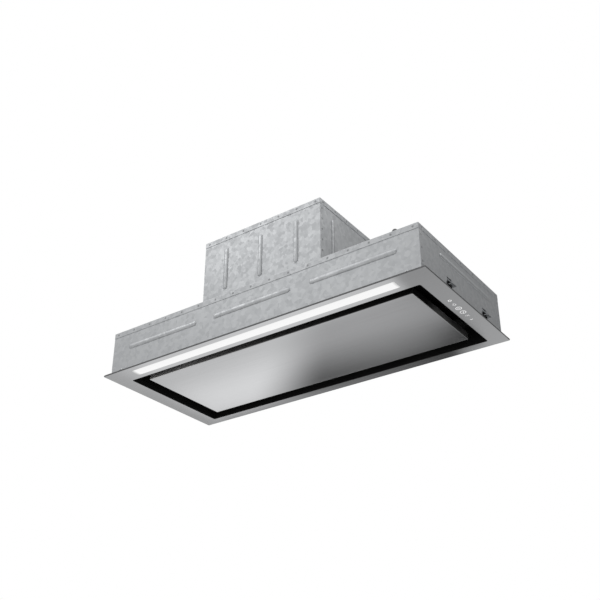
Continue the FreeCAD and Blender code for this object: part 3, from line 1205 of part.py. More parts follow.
# Mains gland: sleeve in the case wall with a nut outside; its bore takes the supply cord
sleeve_x1 = CASE_X1 + GLAND_LENGTH
gland = rod(GLAND_RADIUS - FIT_PLAY, (CASE_X1 - w, GLAND_Y, gland_z), (CASE_X1, GLAND_Y, gland_z))
gland = gland.fuse(
    rod(GLAND_RADIUS - FIT_PLAY, (CASE_X1, GLAND_Y, gland_z), (sleeve_x1, GLAND_Y, gland_z))
)
gland = gland.fuse(
    rod(GLAND_NUT_RADIUS, (CASE_X1, GLAND_Y, gland_z), (CASE_X1 + GLAND_NUT_LENGTH, GLAND_Y, gland_z))
)
gland = gland.cut(rod(GLAND_BORE, (CASE_X1 - w, GLAND_Y, gland_z), (sleeve_x1, GLAND_Y, gland_z)))
keep("mains_gland", gland)

# Leads between the light bar, the touch controls, the motor and the electronics box
grip = w + LEAD_GRIP
light_lead = lead([
    (light_lead_x, LENS_Y, roof_z), (light_lead_x, LENS_Y, LEAD_Z), (light_lead_x, CASE_Y0 + grip, LEAD_Z),
])
touch_lead = lead([
    (TOUCH_X, touch_lead_y, touch_z1 - TOUCH_WALL), (TOUCH_X, touch_lead_y, LEAD_Z),
    (CASE_X1 - grip, touch_lead_y, LEAD_Z),
])
motor_lead = rod(
    LEAD_RADIUS, (MOTOR_END, motor_lead_y, motor_lead_z), (CASE_X0 + grip, motor_lead_y, motor_lead_z)
)
keep("leads", light_lead)
keep("leads", touch_lead)
keep("leads", motor_lead)
keep(
    "lead_grommets",
    grommet(light_pass, (0, 0, 1), SHELL_SHEET), grommet(touch_pass, (0, 0, 1), SHELL_SHEET),
    grommet(motor_pass, (1, 0, 0), BOX_SHEET), grommet(motor_in, (-1, 0, 0), w),
    grommet(light_in, (0, -1, 0), w), grommet(touch_in, (1, 0, 0), w),
)

os.makedirs("parts", exist_ok=True)
for name, solids in nodes.items():
    shape = Part.makeCompound(solids) if len(solids) > 1 else solids[0]
    shape.exportStep("parts/" + name + ".step")
    print(name, len(shape.Solids), round(shape.Volume / 1000, 2))
print("nodes", len(nodes))
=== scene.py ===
# %% [markdown]
# # A built-in range hood
# In use only the underside of this hood shows: a folded stainless bezel with a light bar and a row of
# touch marks, a black recess, and a steel panel that hangs in the recess, so that air is drawn in
# round its edges. Above the bezel stand the parts that are hidden once it is fitted: the galvanised
# plenum, the blower box with its outlet collar, and the electronics box. The solids come from the
# frame. They could be modelled again here, but their sizes and joints are already right, so this
# lesson only adds finishes, light and fine detail.

# %% Load the frame
import math

import bmesh
import bpy
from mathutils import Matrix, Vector


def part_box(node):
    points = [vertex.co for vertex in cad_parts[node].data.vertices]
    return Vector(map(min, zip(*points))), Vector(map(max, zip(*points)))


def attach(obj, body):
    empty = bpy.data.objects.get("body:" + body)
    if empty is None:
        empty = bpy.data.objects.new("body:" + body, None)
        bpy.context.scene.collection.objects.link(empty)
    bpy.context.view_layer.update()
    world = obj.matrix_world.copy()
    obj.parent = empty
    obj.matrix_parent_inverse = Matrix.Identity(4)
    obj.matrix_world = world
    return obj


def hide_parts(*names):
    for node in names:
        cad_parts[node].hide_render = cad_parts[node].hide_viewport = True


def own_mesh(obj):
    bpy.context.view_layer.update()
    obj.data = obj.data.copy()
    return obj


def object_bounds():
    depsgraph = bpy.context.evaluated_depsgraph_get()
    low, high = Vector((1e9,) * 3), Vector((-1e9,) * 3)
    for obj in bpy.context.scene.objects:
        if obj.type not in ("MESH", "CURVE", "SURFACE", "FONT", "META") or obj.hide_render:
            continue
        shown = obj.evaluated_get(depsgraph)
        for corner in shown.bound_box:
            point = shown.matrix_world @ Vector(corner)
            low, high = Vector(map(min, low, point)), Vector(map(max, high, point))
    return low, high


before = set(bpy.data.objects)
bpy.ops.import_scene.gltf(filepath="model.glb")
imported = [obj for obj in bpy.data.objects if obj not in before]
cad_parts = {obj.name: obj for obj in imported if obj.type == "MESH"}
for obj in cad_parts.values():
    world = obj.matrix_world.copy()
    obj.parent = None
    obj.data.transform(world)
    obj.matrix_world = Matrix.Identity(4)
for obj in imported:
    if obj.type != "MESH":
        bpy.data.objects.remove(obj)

cad_low, cad_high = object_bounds()
scene = bpy.context.scene
MM = 0.001
print("nodes:", len(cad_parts), "box from", tuple(cad_low), "to", tuple(cad_high))

# %% [markdown]
# ## Camera
# The hood is seen from the right, from in front and from well below. A camera could be aimed at it by
# eye, but then its corners land only roughly where they should. So the place, the turns and the lens
# were worked out from the corners of the bezel, the recess and the panel. The view transform is the
# plain one, because a filmic curve would grey the white light bar and lift the black recess.

# %% Camera
CAMERA_PLACE = Vector((1.1046, -1.537, -0.909))
CAMERA_LENS = 55.44
CAMERA_SENSOR = 36.0
CAMERA_TILT = 119.26
CAMERA_TURN = 35.62

camera_data = bpy.data.cameras.new("photo_camera")
camera_data.lens = CAMERA_LENS
camera_data.sensor_width = CAMERA_SENSOR
camera = bpy.data.objects.new("photo_camera", camera_data)
camera.location = CAMERA_PLACE
camera.rotation_euler = (math.radians(CAMERA_TILT), 0.0, math.radians(CAMERA_TURN))
scene.collection.objects.link(camera)
scene.camera = camera
scene.view_settings.view_transform = "Standard"
print("camera is", round(CAMERA_PLACE.length, 3), "m from the middle of the seat")

# %% [markdown]
# ## Short ways to write node trees
# Every finish, the backdrop and the repeated pieces are node trees. They could be drawn in the node
# editors, but in a script Blender's own calls for them are long. So a small class adds a node, sets
# its options and wires its inputs in one call. An input may be a number, a colour or the output of
# another node, so that formulas read almost as they would on paper. Shader trees get more such calls,
# and a finish is a shader tree with a principled shader, kept by its name.

# %% Any node tree
class Wiring:
    """A node tree, with short calls that add a node and give back its output."""

    def __init__(self, tree):
        self.tree = tree

    def wire(self, value, socket):
        if isinstance(value, bpy.types.NodeSocket):
            self.tree.links.new(value, socket)
        else:
            socket.default_value = value

    def add(self, kind, inputs=None, **settings):
        node = self.tree.nodes.new(kind)
        for name, value in settings.items():
            setattr(node, name, value)
        for socket, value in (inputs or {}).items():
            self.wire(value, node.inputs[socket])
        return node

    def math(self, operation, first, second=0.0):
        return self.add("ShaderNodeMath", {0: first, 1: second}, operation=operation).outputs["Value"]

    def distance(self, value, middle):
        """How far a value is from a middle, to either side."""
        return self.math("ABSOLUTE", self.math("SUBTRACT", value, middle))

    def axes(self, vector):
        return tuple(self.add("ShaderNodeSeparateXYZ", {"Vector": vector}).outputs)


def calls_of(kind):
    return ", ".join(name for name in vars(kind) if not name.startswith("_"))


print("calls for any tree:", calls_of(Wiring))

# %% Numbers and colours in a shader tree
class Mixing(Wiring):
    """Short calls that map and mix numbers and colours."""

    def span(self, value, start, end, low, high, smooth=False):
        """Maps start..end to low..high; each of the five may be an output."""
        kind = "SMOOTHSTEP" if smooth else "LINEAR"
        sockets = {"Value": value, "From Min": start, "From Max": end, "To Min": low, "To Max": high}
        return self.add("ShaderNodeMapRange", sockets, interpolation_type=kind).outputs["Result"]

    def step(self, value, edge, width, smooth=False):
        """0 up to an edge, and 1 from a width beyond it."""
        return self.span(value, edge, edge + width, 0.0, 1.0, smooth)

    def over(self, mask, below, above):
        """One number where the mask is 0, another where it is 1."""
        return self.span(mask, 0.0, 1.0, below, above)

    def colour_over(self, mask, below, above):
        return self.add("ShaderNodeMix", {0: mask, 6: below, 7: above}, data_type="RGBA").outputs[2]

    def weigh(self, first, share, second):
        """The sum of two values, of which the first has the given share."""
        rest = self.math("MULTIPLY", second, 1.0 - share)
        return self.math("ADD", self.math("MULTIPLY", first, share), rest)

    def ramp(self, factor, stops):
        """A colour ramp from (position, colour) pairs; a colour may be one grey number."""
        node = self.add("ShaderNodeValToRGB", {"Fac": factor})
        elements = node.color_ramp.elements
        while len(elements) < len(stops):
            elements.new(0.5)
        for element, (position, colour) in zip(elements, stops):
            rgb = (colour,) * 3 if isinstance(colour, float) else colour
            element.position = position
            element.color = (*rgb, 1.0)
        return node.outputs["Color"]


print("calls for mixing:", calls_of(Mixing))

# %% Shader trees
class Shading(Mixing):
    """The shader tree of a material or of the world."""

    def __init__(self, owner):
        owner.use_nodes = True
        super().__init__(owner.node_tree)
        self.owner = owner

    def place(self, repeats=(1.0, 1.0, 1.0), shift=(0.0, 0.0, 0.0)):
        """Object coordinates in metres, with a number of repeats per metre along each axis."""
        where = self.add("ShaderNodeTexCoord").outputs["Object"]
        sockets = {"Vector": where, "Scale": repeats, "Location": shift}
        return self.add("ShaderNodeMapping", sockets).outputs["Vector"]

    def noise(self, repeats=(1.0, 1.0, 1.0), scale=1.0, detail=3.0):
        sockets = {"Vector": self.place(repeats), "Scale": scale, "Detail": detail}
        return self.add("ShaderNodeTexNoise", sockets).outputs["Fac"]

    def bump(self, height, strength, depth):
        sockets = {"Height": height, "Strength": strength, "Distance": depth}
        return self.add("ShaderNodeBump", sockets).outputs["Normal"]


print("calls for shader trees:", calls_of(Shading))

# %% Finishes
NOISE_LOW, NOISE_HIGH = 0.3, 0.7
finishes = {}


class Finish(Shading):
    """A material with a principled shader, kept by its name."""

    def __init__(self, name, metallic=0.0, specular=0.5):
        super().__init__(bpy.data.materials.new(name))
        finishes[name] = self.owner
        self.shader = self.tree.nodes["Principled BSDF"]
        self.shader.inputs["Metallic"].default_value = metallic
        self.shader.inputs["Specular IOR Level"].default_value = specular

    def set(self, **values):
        for name, value in values.items():
            self.wire(value, self.shader.inputs[name.replace("_", " ").title()])

    def tones(self, noise, dark, light):
        """Two tones that a noise mixes; most of a noise lies between its low and its high."""
        return self.ramp(noise, [(NOISE_LOW, dark), (NOISE_HIGH, light)])

    def dullness(self, noise, low, high):
        """A roughness that follows a noise."""
        return self.span(noise, NOISE_LOW, NOISE_HIGH, low, high)


print("calls for finishes:", calls_of(Finish))

# %% [markdown]
# ## Floor, backdrop and air
# The set is a pale floor far below the hood with a white backdrop round it. One even world colour
# could light it all, but then folded sheet metal would look flat. So the air, which is Blender's
# world, is bright at the front left and darker at the rear right. The backdrop is a large ball that
# only the camera sees: it keeps the background white whatever the air does.

# %% Floor
WHITE = (1.0, 1.0, 1.0, 1.0)
FLOOR_Z = -2.45
FLOOR_HALF = (24.0, 24.0)
FLOOR_CLOUDS = 0.6
FLOOR_TONES = (0.83, 0.85)
FLOOR_ROUGHNESS = 0.8
FLOOR_GLOW = 0.16


def mesh_piece(name, mesh, finish=None):
    """An object for a mesh, at the origin, with its material if one is given."""
    if finish:
        mesh.materials.append(finish)
    piece = bpy.data.objects.new(name, mesh)
    scene.collection.objects.link(piece)
    return piece


def flat_sheet(name, finish, half, z, middle=(0.0, 0.0)):
    """A level rectangle, given by its middle and half its sides."""
    signs = ((-1, -1), (1, -1), (1, 1), (-1, 1))
    points = [(middle[0] + x * half[0], middle[1] + y * half[1], z) for x, y in signs]
    mesh = bpy.data.meshes.new(name)
    mesh.from_pydata(points, [], [(0, 1, 2, 3)])
    return mesh_piece(name, mesh, finish)


pale_floor = Finish("pale_floor", specular=0.2)
pale_floor.set(
    base_color=pale_floor.tones(pale_floor.noise(scale=FLOOR_CLOUDS), *FLOOR_TONES),
    roughness=FLOOR_ROUGHNESS,
    emission_color=WHITE,
    emission_strength=FLOOR_GLOW,
)
floor = flat_sheet("studio_floor", pale_floor.owner, FLOOR_HALF, FLOOR_Z)
print("floor at", FLOOR_Z, "m")

# %% Backdrop
BACKDROP_RADIUS = 18.0
BACKDROP_FADE_TOP = 3.0
HORIZON_TONE = 0.80


def glow_material(name):
    """A material that only gives light; returns its tree and the socket for its brightness."""
    glow = Shading(bpy.data.materials.new(name))
    glow.tree.nodes.clear()
    lamp = glow.add("ShaderNodeEmission")
    glow.add("ShaderNodeOutputMaterial", {"Surface": lamp.outputs["Emission"]})
    return glow, lamp.inputs["Strength"]


def seen_only_by(piece, rays):
    """Lets only one kind of rays meet a piece of the set."""
    for kind in ("camera", "diffuse", "glossy", "transmission", "volume_scatter", "shadow"):
        setattr(piece, "visible_" + kind, kind == rays)


white_paper, paper_strength = glow_material("white_paper")
paper_height = white_paper.axes(white_paper.place())[2]
paper_fade = white_paper.span(paper_height, FLOOR_Z, BACKDROP_FADE_TOP, HORIZON_TONE, 1.0, smooth=True)
white_paper.wire(paper_fade, paper_strength)
ball = bmesh.new()
bmesh.ops.create_icosphere(ball, subdivisions=5, radius=BACKDROP_RADIUS)
ball_mesh = bpy.data.meshes.new("backdrop")
ball.to_mesh(ball_mesh)
ball.free()
backdrop = mesh_piece("backdrop", ball_mesh, white_paper.owner)
seen_only_by(backdrop, "camera")
print("backdrop radius", BACKDROP_RADIUS, "m")

# %% Air
KEY_SIDE = Vector((-0.75, -0.55, 0.35)).normalized()
AIR_DARK = 0.26
AIR_BRIGHT = 0.62
AIR_OVERHEAD = 0.70
OVERHEAD_START, OVERHEAD_FULL = 0.55, 0.95

scene.world = bpy.data.worlds.new("studio_air")
air = Shading(scene.world)
toward = air.add("ShaderNodeTexCoord").outputs["Generated"]
facing_key = air.add("ShaderNodeVectorMath", {0: toward, 1: KEY_SIDE}, operation="DOT_PRODUCT")
side_air = air.span(facing_key.outputs["Value"], -1.0, 1.0, AIR_DARK, AIR_BRIGHT, smooth=True)
upward = air.axes(toward)[2]
overhead_air = air.span(upward, OVERHEAD_START, OVERHEAD_FULL, 0.0, AIR_OVERHEAD, smooth=True)
background = air.tree.nodes["Background"].inputs
background["Color"].default_value = WHITE
air.wire(air.math("ADD", side_air, overhead_air), background["Strength"])
print("air from", AIR_DARK, "to", AIR_BRIGHT, "and", AIR_OVERHEAD, "more overhead")

# %% [markdown]
# ## What the steel sees below
# Polished steel shows what it mirrors, and an underside that mirrors one even floor looks like white
# paper. Many things could be built for it to mirror, but soft patches of light and shade are enough.
# They lie on a sheet just above the floor, which only mirror rays meet, while the floor itself is
# hidden from them.

# %% Mirror floor
MIRROR_LIFT = 0.02
MIRROR_PATCHES = 0.42
PATCH_START, PATCH_END = 0.36, 0.64
MIRROR_DARK = 0.30
MIRROR_BRIGHT = 0.92

floor.visible_glossy = False
patches, patch_strength = glow_material("mirror_floor")
patches.owner.cycles.emission_sampling = "NONE"
patch = patches.noise(scale=MIRROR_PATCHES, detail=1.0)
patch_tone = patches.span(patch, PATCH_START, PATCH_END, MIRROR_DARK, MIRROR_BRIGHT, smooth=True)
patches.wire(patch_tone, patch_strength)
mirror_floor = flat_sheet("mirror_floor", patches.owner, FLOOR_HALF, FLOOR_Z + MIRROR_LIFT)
seen_only_by(mirror_floor, "glossy")
print("mirror floor tones", MIRROR_DARK, "to", MIRROR_BRIGHT)

# %% [markdown]
# ## Softboxes and the bounce card
# Two softboxes light the upper body. More lamps could be set below for the steel underside, but each
# would show in it as a hard bright shape. Studios use a bounce card there, and so does this scene: a
# card lies where the camera looks after the steel turns its rays. Card and bezel are parallel, so the
# card is an enlarged copy of the bezel's face, and its tones can be written in the bezel's own
# metres: bright on the left of the panel, dim on the right, dark towards the far right corner, with
# strips of their own for the borders.

# %% Softboxes
SOFTBOX_POWER = 9.0
SOFTBOXES = {
    "front_softbox": ((-2.2, -2.0, 2.6), (1.8, 1.2)),
    "rear_softbox": ((2.4, 1.8, 2.8), (1.6, 1.2)),
}

for name, (place, size) in SOFTBOXES.items():
    lamp = bpy.data.lights.new(name, "AREA")
    lamp.shape = "RECTANGLE"
    lamp.size, lamp.size_y = size
    lamp.energy = SOFTBOX_POWER
    softbox = bpy.data.objects.new(name, lamp)
    softbox.location = place
    softbox.rotation_euler = (-Vector(place)).to_track_quat("-Z", "Y").to_euler()
    softbox.visible_camera = False
    scene.collection.objects.link(softbox)
print("softboxes:", len(SOFTBOXES))

# %% Bounce card in the bezel's metres
CARD_Z = -1.45
CARD_HALF = (0.62, 0.36)

enlarged = 1.0 - CARD_Z / -CAMERA_PLACE.z
card_middle = [(1.0 - enlarged) * CAMERA_PLACE[i] for i in range(2)]
card, card_strength = glow_material("bounce_card")
card.owner.cycles.emission_sampling = "NONE"
to_bezel = [-middle / enlarged for middle in card_middle]
u, v, _ = card.axes(card.place((1.0 / enlarged, 1.0 / enlarged, 1.0), (*to_bezel, 0.0)))
along = card.span(u, cad_low.x, cad_high.x, 0.0, 1.0)
print("bounce card is the bezel enlarged", round(enlarged, 3), "times")

# %% Bounce card behind the panel's face
# A span is two places and the tones or factors there. A ramp is shares of the bezel's length with
# the tones or factors there.
LEFT_BY_DEPTH = (-0.12, 0.06, 0.70, 1.02)
LEFT_BY_LENGTH = (-0.34, -0.08, 0.97, 1.05)
RIGHT_BY_DEPTH = (-0.08, 0.16, 0.53, 0.13)
RIGHT_FRONT = (-0.11, -0.03, 0.85, 1.0)
RIGHT_REAR = (0.13, 0.15, 1.0, 0.3)
SWAY_BY_LENGTH = [
    (0.49, 0.80), (0.56, 0.95), (0.63, 1.12), (0.73, 1.35), (0.80, 1.20), (0.84, 1.05), (0.87, 0.75),
    (0.90, 0.50), (0.925, 0.0),
]
SWAY_BY_DEPTH = (0.0, 0.12, 0.1, 1.0)
TURN_SLANT = 0.85
TURN_START = (-0.03, 0.1, -0.11, -0.145)
TURN_END = (-0.03, 0.1, 0.08, 0.095)

left_tone = card.span(v, *LEFT_BY_DEPTH, smooth=True)
left_tone = card.math("MULTIPLY", left_tone, card.span(u, *LEFT_BY_LENGTH))
sway = card.over(card.span(v, *SWAY_BY_DEPTH, smooth=True), 1.0, card.ramp(along, SWAY_BY_LENGTH))
right_tone = card.span(v, *RIGHT_BY_DEPTH, smooth=True)
for factor in (sway, card.span(v, *RIGHT_FRONT), card.span(v, *RIGHT_REAR)):
    right_tone = card.math("MULTIPLY", right_tone, factor)
slant = card.math("ADD", u, card.math("MULTIPLY", v, TURN_SLANT))
turned = card.span(slant, card.span(v, *TURN_START), card.span(v, *TURN_END), 0.0, 1.0, smooth=True)
panel_tone = card.over(turned, left_tone, right_tone)
print("panel's tones turn over", round(TURN_END[2] - TURN_START[2], 3), "m at the front")

# %% Bounce card behind the borders
RECESS_LEFT, RECESS_RIGHT = -0.379, 0.384
RECESS_FRONT, RECESS_REAR = -0.122, 0.157
LIGHT_LEFT, LIGHT_RIGHT = -0.325, 0.360
BORDER_SOFT = 0.008
LEFT_BORDER = (-0.1, 0.12, 0.52, 0.43)
RIGHT_BORDER = (-0.19, 0.19, 0.40, 0.53)
REAR_BORDER = [
    (0.0, 0.30), (0.33, 0.38), (0.50, 0.25), (0.81, 0.085), (0.845, 0.085), (0.88, 0.42), (0.92, 0.47),
]
LIGHT_BORDER = [
    (0.12, 0.86), (0.35, 0.81), (0.46, 0.87), (0.58, 0.90), (0.72, 0.88), (0.82, 0.82), (0.91, 0.76),
]


def beyond(value, edge):
    """1 where a value is past an edge and 0 before it, with a narrow soft border."""
    return card.step(value, edge - BORDER_SOFT, 2 * BORDER_SOFT, smooth=True)


tone = card.over(beyond(v, RECESS_REAR), panel_tone, card.ramp(along, REAR_BORDER))
tone = card.over(beyond(u, RECESS_RIGHT), tone, card.span(v, *RIGHT_BORDER))
tone = card.over(beyond(u, RECESS_LEFT), card.span(v, *LEFT_BORDER), tone)
by_light = card.math("SUBTRACT", beyond(u, LIGHT_LEFT), beyond(u, LIGHT_RIGHT))
front_tone = card.over(by_light, tone, card.ramp(along, LIGHT_BORDER))
card.wire(card.over(beyond(v, RECESS_FRONT), front_tone, tone), card_strength)
card_half = [enlarged * half for half in CARD_HALF]
card_sheet = flat_sheet("bounce_card", card.owner, card_half, CARD_Z, card_middle)
seen_only_by(card_sheet, "glossy")
print("bounce card is", [round(2 * half, 2) for half in card_half], "m at z", CARD_Z)

# %% [markdown]
# ## Brushed stainless steel
# The bezel and the panel are stainless sheet that is brushed along its length. A picture of brushed
# metal could be laid on them, but it would need a UV map and would show its repeats. Here the
# brushing is a noise that is stretched a few hundred times along X, which needs only Object
# coordinates. It moves the tone, the roughness and a very small bump, and a second, slow noise keeps
# the sheet from looking even. The brush doesn't reach the outer side of the folded rim or the panel's
# turned-up border, so there the steel is dull. The rim's dark tone is painted shade of the gap where
# the bezel meets the cabinet. The border stands in the black recess, and its tones along its sides
# are painted reflection and painted shade: only the left end of its front side is painted bright.

# %% Brushed stainless steel
BRUSHING = (5.0, 1400.0, 1400.0)
SHEET_WAVES = (3.0, 9.0, 9.0)
BRUSH_SHARE = 0.75
BRUSH_BUMP = 0.05
BRUSH_DEPTH = 0.02 * MM
STEEL_DARK = (0.585, 0.59, 0.60)
STEEL_LIGHT = (0.645, 0.65, 0.66)
STEEL_ROUGHNESS = (0.055, 0.09)
INNER_ROUGHNESS = 0.30
EDGE_ROUGHNESS = 0.55


def brushed_steel(name, edge_of):
    """Steel with a dull edge; edge_of gives masks of edge and inner side, and the edge's tone of painted
    light and shade.
    """
    steel = Finish(name, metallic=1.0)
    streaks = steel.noise(BRUSHING, detail=4.0)
    worn = steel.weigh(streaks, BRUSH_SHARE, steel.noise(SHEET_WAVES, detail=2.0))
    edge, inner, painted_edge_tone = edge_of(steel, *steel.axes(steel.place()))
    roughness = steel.over(inner, steel.dullness(worn, *STEEL_ROUGHNESS), INNER_ROUGHNESS)
    steel.set(
        base_color=steel.colour_over(edge, steel.tones(worn, STEEL_DARK, STEEL_LIGHT), painted_edge_tone),
        roughness=steel.over(edge, roughness, EDGE_ROUGHNESS),
        normal=steel.bump(streaks, BRUSH_BUMP, BRUSH_DEPTH),
    )
    print(name, "has", len(steel.tree.nodes), "nodes")


def outside(steel, x, y, low, high):
    """How far a point lies outside a box in plan, below 0 inside it."""
    out_x = steel.math("SUBTRACT", steel.distance(x, (low.x + high.x) / 2), (high.x - low.x) / 2)
    out_y = steel.math("SUBTRACT", steel.distance(y, (low.y + high.y) / 2), (high.y - low.y) / 2)
    return steel.math("MAXIMUM", out_x, out_y)


print("steel roughness", STEEL_ROUGHNESS, "and", EDGE_ROUGHNESS, "on edges")

# %% Steel of the bezel
RIM_MARGIN = 0.7 * MM
# The rim's dark tone is painted shade of the gap where the bezel meets the cabinet; its dullness is the
# unbrushed steel's own roughness.
RIM_SHADE_TONE = (0.18, 0.18, 0.185, 1.0)
EDGE_SOFT = 0.2 * MM
INNER_START = 0.8 * MM
SKIN_SOFT = 0.1 * MM


def bezel_edge(steel, x, y, z):
    """The outer side of the folded rim and the upper side of the sheet."""
    edge = steel.step(outside(steel, x, y, cad_low, cad_high), -RIM_MARGIN, EDGE_SOFT)
    inner = steel.step(z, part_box("bezel")[0].z + INNER_START, SKIN_SOFT)
    return edge, inner, RIM_SHADE_TONE


brushed_steel("bezel_steel", bezel_edge)

# %% Steel of the panel
BEND_MARGIN = 1.6 * MM
BEND_TOP = 0.9 * MM
FACE_SKIN = 0.02 * MM
# Painted reflection and painted shade on the panel's bend and turned-up border, by share of its depth
# along the sides and by share of its length along the front.
SIDE_BEND_PAINTED_LIGHT = [(0.0, 0.55), (0.5, 0.36), (0.7, 0.18), (1.0, 0.03)]
SIDE_BORDER_PAINTED_LIGHT = [
    (0.0, 0.03), (0.24, 0.03), (0.3, 0.09), (0.36, 0.25), (0.42, 0.38), (0.56, 0.42), (0.69, 0.20),
    (1.0, 0.20),
]
FRONT_BORDER_PAINTED_LIGHT = [
    (0.0, 0.80), (0.1, 0.80), (0.15, 1.0), (0.22, 0.70), (0.36, 0.42), (0.5, 0.25), (0.64, 0.14),
    (0.8, 0.07), (1.0, 0.05),
]


def panel_edge(steel, x, y, z):
    """The bend and the outer side of the turned-up border with their painted reflection and shade, and
    the inner side of the sheet.
    """
    low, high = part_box("intake_panel")
    margin = steel.span(z, low.z + BEND_TOP, low.z + BEND_TOP + SKIN_SOFT, -BEND_MARGIN, -RIM_MARGIN)
    out = steel.math("SUBTRACT", outside(steel, x, y, low, high), margin)
    above_face = steel.step(z, low.z + FACE_SKIN, SKIN_SOFT)
    edge = steel.math("MULTIPLY", steel.step(out, 0.0, EDGE_SOFT), above_face)
    inner = steel.step(z, low.z + INNER_START, SKIN_SOFT)
    # Painted reflection and shade: the bend and the border's sides by depth, the front by length.
    rearward = steel.span(y, low.y, high.y, 0.0, 1.0)
    past_bend = steel.step(z, low.z + BEND_MARGIN / 2, BEND_MARGIN)
    bend, border = steel.ramp(rearward, SIDE_BEND_PAINTED_LIGHT), steel.ramp(rearward, SIDE_BORDER_PAINTED_LIGHT)
    front = steel.ramp(steel.span(x, low.x, high.x, 0.0, 1.0), FRONT_BORDER_PAINTED_LIGHT)
    past_front = steel.step(y, low.y + BEND_MARGIN, BEND_MARGIN)
    return edge, inner, steel.over(past_front, front, steel.over(past_bend, bend, border))


brushed_steel("panel_steel", panel_edge)

# %% [markdown]
# ## Galvanised sheet
# The plenum and the blower box are steel sheet that was dipped in zinc, which freezes into flat
# crystals a centimetre or so wide, each shining in its own way. A noise alone would look like clouds.
# Voronoi cells give such crystals: the cell's random colour sets its tone and roughness, and bent
# coordinates keep the borders from being straight. A finer noise adds the grey bloom of stored zinc.
# The plate that carries the filters is painted black on the side that shows in the recess; the
# black also stands in for the shade deep in the recess.

# %% Galvanised sheet
LARGE_SPANGLE = (120.0, (0.49, 0.503, 0.515), (0.58, 0.593, 0.605))
SMALL_SPANGLE = (180.0, (0.47, 0.483, 0.495), (0.57, 0.583, 0.595))
CRYSTAL_WANDER = 1.7
CRYSTAL_BEND = 0.5
CRYSTAL_SHARE = 0.6
CRYSTAL_LOW, CRYSTAL_HIGH = 0.15, 0.85
BLOOM_GRAIN = 22.0
BLOOM_BUMP = 0.12
BLOOM_DEPTH = 0.2 * MM
ZINC_ROUGHNESS = (0.1, 0.9, 0.50, 0.34)
BLACK_PAINT_AND_SHADE = (0.006, 0.006, 0.006, 1.0)
PAINT_LIMIT = 0.2 * MM


def galvanised(name, crystals, dark, light, dark_below=None):
    """Zinc with a number of crystals per metre; below a height it may be black paint and painted shade.
    """
    zinc = Finish(name, metallic=1.0)
    wandering = {"Vector": zinc.place(), "Scale": CRYSTAL_WANDER * crystals}
    wander = zinc.add("ShaderNodeTexNoise", wandering)
    bend = {0: wander.outputs["Color"], 1: (CRYSTAL_BEND / crystals,) * 3, 2: zinc.place()}
    bent = zinc.add("ShaderNodeVectorMath", bend, operation="MULTIPLY_ADD").outputs["Vector"]
    cells = zinc.add("ShaderNodeTexVoronoi", {"Vector": bent, "Scale": crystals})
    bloom = zinc.noise(scale=BLOOM_GRAIN, detail=5.0)
    mixed = zinc.weigh(zinc.axes(cells.outputs["Color"])[0], CRYSTAL_SHARE, bloom)
    colour = zinc.ramp(mixed, [(CRYSTAL_LOW, dark), (CRYSTAL_HIGH, light)])
    if dark_below:
        bare = zinc.step(zinc.axes(zinc.place())[2], dark_below - SKIN_SOFT, SKIN_SOFT)
        colour = zinc.colour_over(bare, BLACK_PAINT_AND_SHADE, colour)
        zinc.set(metallic=bare)
    zinc.set(
        base_color=colour,
        roughness=zinc.span(mixed, *ZINC_ROUGHNESS),
        normal=zinc.bump(bloom, BLOOM_BUMP, BLOOM_DEPTH),
    )
    print(name, "has", crystals, "crystals per metre")


galvanised("galvanised_sheet", *LARGE_SPANGLE)
# Black paint under the plate, which also stands in for the shade deep in the recess.
galvanised("galvanised_plate", *LARGE_SPANGLE, dark_below=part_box("filter_plate")[1].z - PAINT_LIMIT)
galvanised("galvanised_small", *SMALL_SPANGLE)

# %% [markdown]
# ## Plain grained finishes
# The hood also has enamel, mouldings, rubber, foam, plated and drawn metal. Each could be one flat
# colour, which looks like a drawing, or a tree of its own, which is long. They are alike in build, so
# one function makes them all: two near tones that a noise mixes, a roughness that follows the same
# noise, and a bump at the scale of the real grain. The table gives each its dark and light tone,
# roughness, grain in repeats per metre, strength of the bump, how metallic it is and, where it isn't
# the usual one, its specular level.

# %% One grained finish
GRAIN_SHARE = 0.6
GRAIN_DEPTH = 0.1 * MM
BROAD_GRAIN = 14.0


def grained(name, dark, light, roughness, grain, bump, metallic=0.0, specular=0.5):
    finish = Finish(name, metallic, specular)
    fine = finish.noise(grain, detail=4.0)
    mixed = finish.weigh(fine, GRAIN_SHARE, finish.noise(scale=BROAD_GRAIN, detail=2.0))
    finish.set(
        base_color=finish.tones(mixed, dark, light),
        roughness=finish.dullness(mixed, *roughness),
        normal=finish.bump(fine, bump, GRAIN_DEPTH),
    )


print("the fine grain makes", GRAIN_SHARE, "of a tone")

